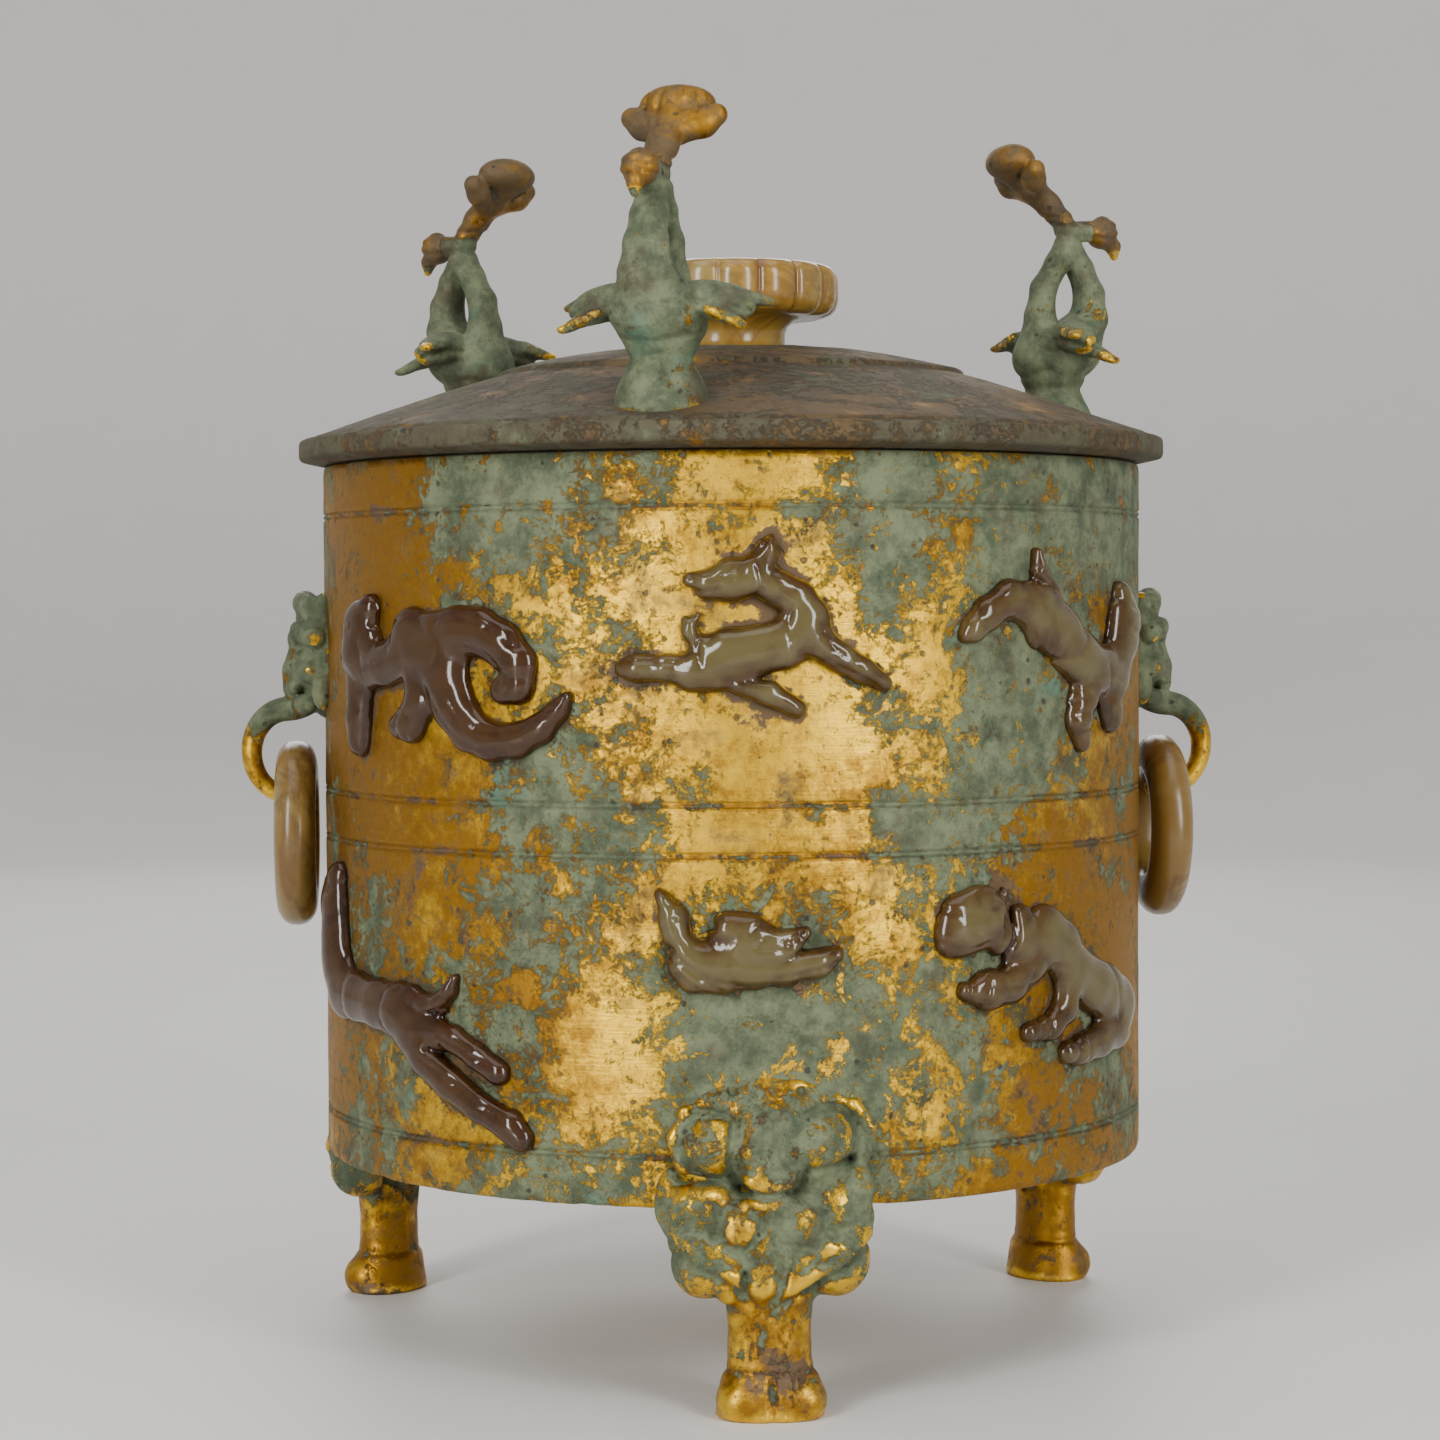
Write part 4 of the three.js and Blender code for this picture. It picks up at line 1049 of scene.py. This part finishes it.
def standing_bird():
    clay = Clay((-37, -31, -7), (37, 29.5, 101), BIRD_UNIT, BIRD_CELL)
    clay.limb((0, 0, -7, 16), (0, 0, -2, 14.6), (0, 0, 2, 12), (0, 0, 6, 10.4), (0, 0, 10, 9.8), blend=1.0)
    clay.limb((0, 0, 10, 9.6), (0, 0, 15, 11), blend=0.5)
    clay.lump((0, 0, 23), (14.6, 14.5, 11.5), 1.2)
    clay.limb((0, 7, 27, 11), (0, 14, 37, 6.4), (0, 14.5, 46, 5.0), (0, 11, 55, 4.3), (0, 7, 63, 3.9),
              blend=0.9, squash=(1.4, 1, 1))
    clay.limb((0, -4, 28, 8.5), (0, -5, 38, 5), (0, -3.5, 48, 4.3), (0, 2, 57, 4.1), (0, 5.5, 64, 4),
              blend=0.9, squash=(1.4, 1, 1))
    clay.limb((0, 6, 64, 4.2), (0, 4.5, 71, 4.2), (0, -1, 77, 4.6), (0, -9, 84, 5.6), (0, -16, 90, 6.2),
              blend=1.2, squash=(1.1, 0.8, 1))
    clay.limb((0, 7, 68, 4), (0, 15, 69, 3.8), blend=0.6)
    clay.lump((0, 19.5, 68.5), (6.3, 5.8, 6), 0.4)
    clay.limb((0, 21, 67, 4.2), (0, 24, 63.5, 2.8), (0, 24.5, 60, 1.6), blend=0.5)
    clay.lump((0, -16.5, 92.2), (12.5, 8, 6.4), 1.2)
    for side in (-1, 1):
        clay.limb((side * 4, -9, 84, 5), (side * 10, -12, 85.5, 4.6), (side * 14, -13, 88, 3.6), blend=0.9,
                  squash=(1, 0.9, 1))
        clay.lump((side * 18, 0, 29), (13, 6, 6), 0.8, -14 * side)
        clay.limb((side * 22, -3, 31, 4.4), (side * 33, -7, 28.5, 2), blend=0.8, squash=(1, 1.3, 0.7))
        clay.limb((side * 18, 4, 26, 4.6), (side * 29, 10, 20.5, 2), blend=0.8, squash=(1, 1.3, 0.7))
        clay.carve([(side * 12, 28.5), (side * 20, 27.5), (side * 29, 25.5)], 0.4, 0.4)
        clay.carve([(side * 13, 32.5), (side * 22, 31), (side * 31, 29)], 0.35, 0.3)
        clay.carve([(side * 12, 25), (side * 19, 23.2), (side * 25, 20.5)], 0.35, 0.35)
        clay.carve([(side * 2.5, 97), (side * 4.5, 91), (side * 3, 84)], 0.4, 0.3)
        clay.carve([(side * 8, 95), (side * 9.5, 90), (side * 6, 85)], 0.4, 0.35)
    for height in (66.5, 70, 73):
        clay.carve([(-6, height - 0.8), (0, height + 0.6), (6, height - 0.8)], 0.35, 0.35)
    clay.carve([(-11, 18), (0, 15), (11, 18)], 0.5, 0.3)
    x, out, z = clay.cells()
    clay.field += 0.3 * np.exp(-((z - 11.6 * BIRD_UNIT) / 0.5) ** 2)
    clay.field = np.maximum(clay.field, -6.5 * BIRD_UNIT - z).astype(np.float32)
    return clay


STAND_RADIUS = 70.0
points, faces, proud = standing_bird().skin()
x, out, z = points.T
standing = np.stack([x, -STAND_RADIUS - out, z + dome(STAND_RADIUS)], axis=1)
beak = np.clip((out - 7.6) / 1.2, 0, 1) * np.clip((z - 34.5) / 1.5, 0, 1)
foot = (0, -STAND_RADIUS, 0)
for side, angle, twist in (("front", -15, -8), ("right", 105, 0), ("left", -135, 0)):
    placed = spun(spun(standing - foot, twist) + foot, angle)
    worn = proud + 0.06 * ripple(placed, 4, 12)
    place_piece("standing_bird_" + side, placed, faces, bird_bronze, ["bird_" + side],
                {"proud": worn, "beak": beak})

# %% [markdown]
# ## Masks with hooks
#
# At each side a beast mask is soldered to the wall. Its brows and snout stand out in steps, and
# its nose grows into an open hook that carries the ring. Sizes are hundredths of its height.

# %% Model the mask
MASK_UNIT, MASK_CELL, MASK_MIDDLE = 0.265, 0.4, 131.75


def mask_with_hook():
    clay = Clay((-54, -3, -106), (54, 64, 52), MASK_UNIT, MASK_CELL)
    clay.lump((0, -6, 4), (48, 26, 48), 0.6)
    clay.limb((-30, 10, 39, 8), (0, 14, 42, 9), (30, 10, 39, 8), blend=0.5)
    clay.limb((-34, 7, 30, 9), (0, 11, 31, 9.5), (34, 7, 30, 9), blend=0.6)
    clay.limb((-42, 8, 17, 8), (-20, 16, 22, 9), (0, 18, 16, 9), (20, 16, 22, 9), (42, 8, 17, 8), blend=0.4)
    clay.limb((0, 14, 12, 11), (0, 20, -8, 11), (0, 21, -20, 10), blend=0.6)
    clay.limb((-34, 10, -8, 9), (0, 19, -10, 9), (34, 10, -8, 9), blend=0.4)
    clay.limb((-24, 12, -31, 7), (0, 20, -33, 8), (24, 12, -31, 7), blend=0.4)
    for side in (-1, 1):
        clay.lump((side * 21, 14, 3), (8.5, 8, 7), 0.25)
        clay.lump((side * 12, 22, -19), (8, 6, 6), 0.3)
        clay.lump((side * 37, 3, -20), (9, 8, 16), 0.4)
        clay.limb((side * 36, 3, 28, 9), (side * 38, 3, 42, 6), blend=0.4)
        clay.ring(side * 21, 3, 6, 0.3, 0.3)
        clay.carve([(side * 8, 30), (side * 22, 31), (side * 38, 27)], 0.4, 0.5)
        clay.carve([(side * 14, -21), (side * 26, -22), (side * 38, -16)], 0.4, 0.4)
    bend = []
    for turn in np.radians([100, 75, 50, 25, 0, -25, -50, -72, -90]):
        away, up = 27.4 + 27.2 * math.cos(turn), -67.2 + 32.2 * math.sin(turn)
        bend.append((0, away, up, 7.05 + 1.55 * turn / 1.75))
    path = eased([(0, 14, -31, 9.4)] + bend + [(0, 16, -99.4, 5.3)])
    clay.limb(*path, blend=0.5)
    x, out, z = clay.cells()
    clay.field = np.maximum(clay.field, -0.5 - out).astype(np.float32)
    return clay


points, faces, proud = mask_with_hook().skin()
points = points + (0, 0, MASK_MIDDLE)
for side, angle in (("right", 90), ("left", -90)):
    placed = wrapped(points, angle)
    worn = proud + 0.06 * ripple(placed, 3, 13)
    place_piece("mask_with_hook_" + side, placed, faces, handle_bronze, ["handle_" + side],
                {"proud": worn})

# %% [markdown]
# ## Floor, lights and camera
#
# The vessel stands on a plain pale floor that curves up all round, so that every view has the
# same calm ground. Two tall narrow softboxes stand left and right of the camera and give the
# upright bands of light that run down the gold. A broad one hangs above and one stands behind.

# %% Floor
material, board, place, shader = new_material("pale floor")
speckle = board.noise(place, 0.03, 4, 0.6)
board.feed(shader["Base Color"], board.colour(speckle, (0.70, 0.69, 0.67, 1), (0.74, 0.73, 0.71, 1)))
board.feed(shader["Roughness"], board.total(0.5, board.times(speckle, 0.1)))
corner = [(1300 + 400 * math.sin(a), 400 - 400 * math.cos(a)) for a in np.linspace(0, math.pi / 2, 14)]
points, faces = turned([(0, 0), (300, 0), (800, 0)] + corner + [(1700, 1900)], 96)
mesh = bpy.data.meshes.new("floor")
mesh.from_pydata((points * MM).tolist(), [], faces[:, ::-1].tolist())
mesh.shade_smooth()
mesh.materials.append(material)
floor = bpy.data.objects.new("floor", mesh)
bpy.context.scene.collection.objects.link(floor)


# %% Lights
def softbox(name, degrees, distance, height, width, tall, power, aim=0.11):
    light = bpy.data.lights.new(name, "AREA")
    light.shape, light.size, light.size_y, light.energy = "RECTANGLE", width, tall, power
    lamp = bpy.data.objects.new(name, light)
    turn = math.radians(degrees)
    lamp.location = (distance * math.sin(turn), -distance * math.cos(turn), height)
    lamp.rotation_euler = (Vector((0, 0, aim)) - lamp.location).to_track_quat("-Z", "Y").to_euler()
    lamp.visible_camera = False
    bpy.context.scene.collection.objects.link(lamp)


softbox("softbox left", -37, 1.15, 0.53, 0.22, 0.95, 12)
softbox("softbox right", 31, 1.15, 0.53, 0.22, 0.95, 10)
softbox("softbox top", 0, 0.15, 1.35, 1.1, 1.1, 6)
softbox("softbox back", 180, 1.2, 0.7, 0.9, 0.5, 5)
world = bpy.data.worlds.new("studio")
world.use_nodes = True
world.node_tree.nodes["Background"].inputs["Color"].default_value = (0.97, 0.97, 1.0, 1)
world.node_tree.nodes["Background"].inputs["Strength"].default_value = 0.3
bpy.context.scene.world = world

# %% Camera
lens = bpy.data.cameras.new("camera")
lens.lens, lens.sensor_width = 84.9, 36
camera = bpy.data.objects.new("camera", lens)
CAMERA_PLACE = (-0.0586, -0.6692, 0.1412)
heading, pitch, roll = math.radians(4.804), math.radians(1.851), math.radians(0.246)
aim = Euler((math.pi / 2 - pitch, 0, -heading)).to_matrix().to_4x4()
camera.matrix_world = Matrix.Translation(CAMERA_PLACE) @ aim @ Matrix.Rotation(-roll, 4, "Z")
bpy.context.scene.collection.objects.link(camera)
bpy.context.scene.camera = camera
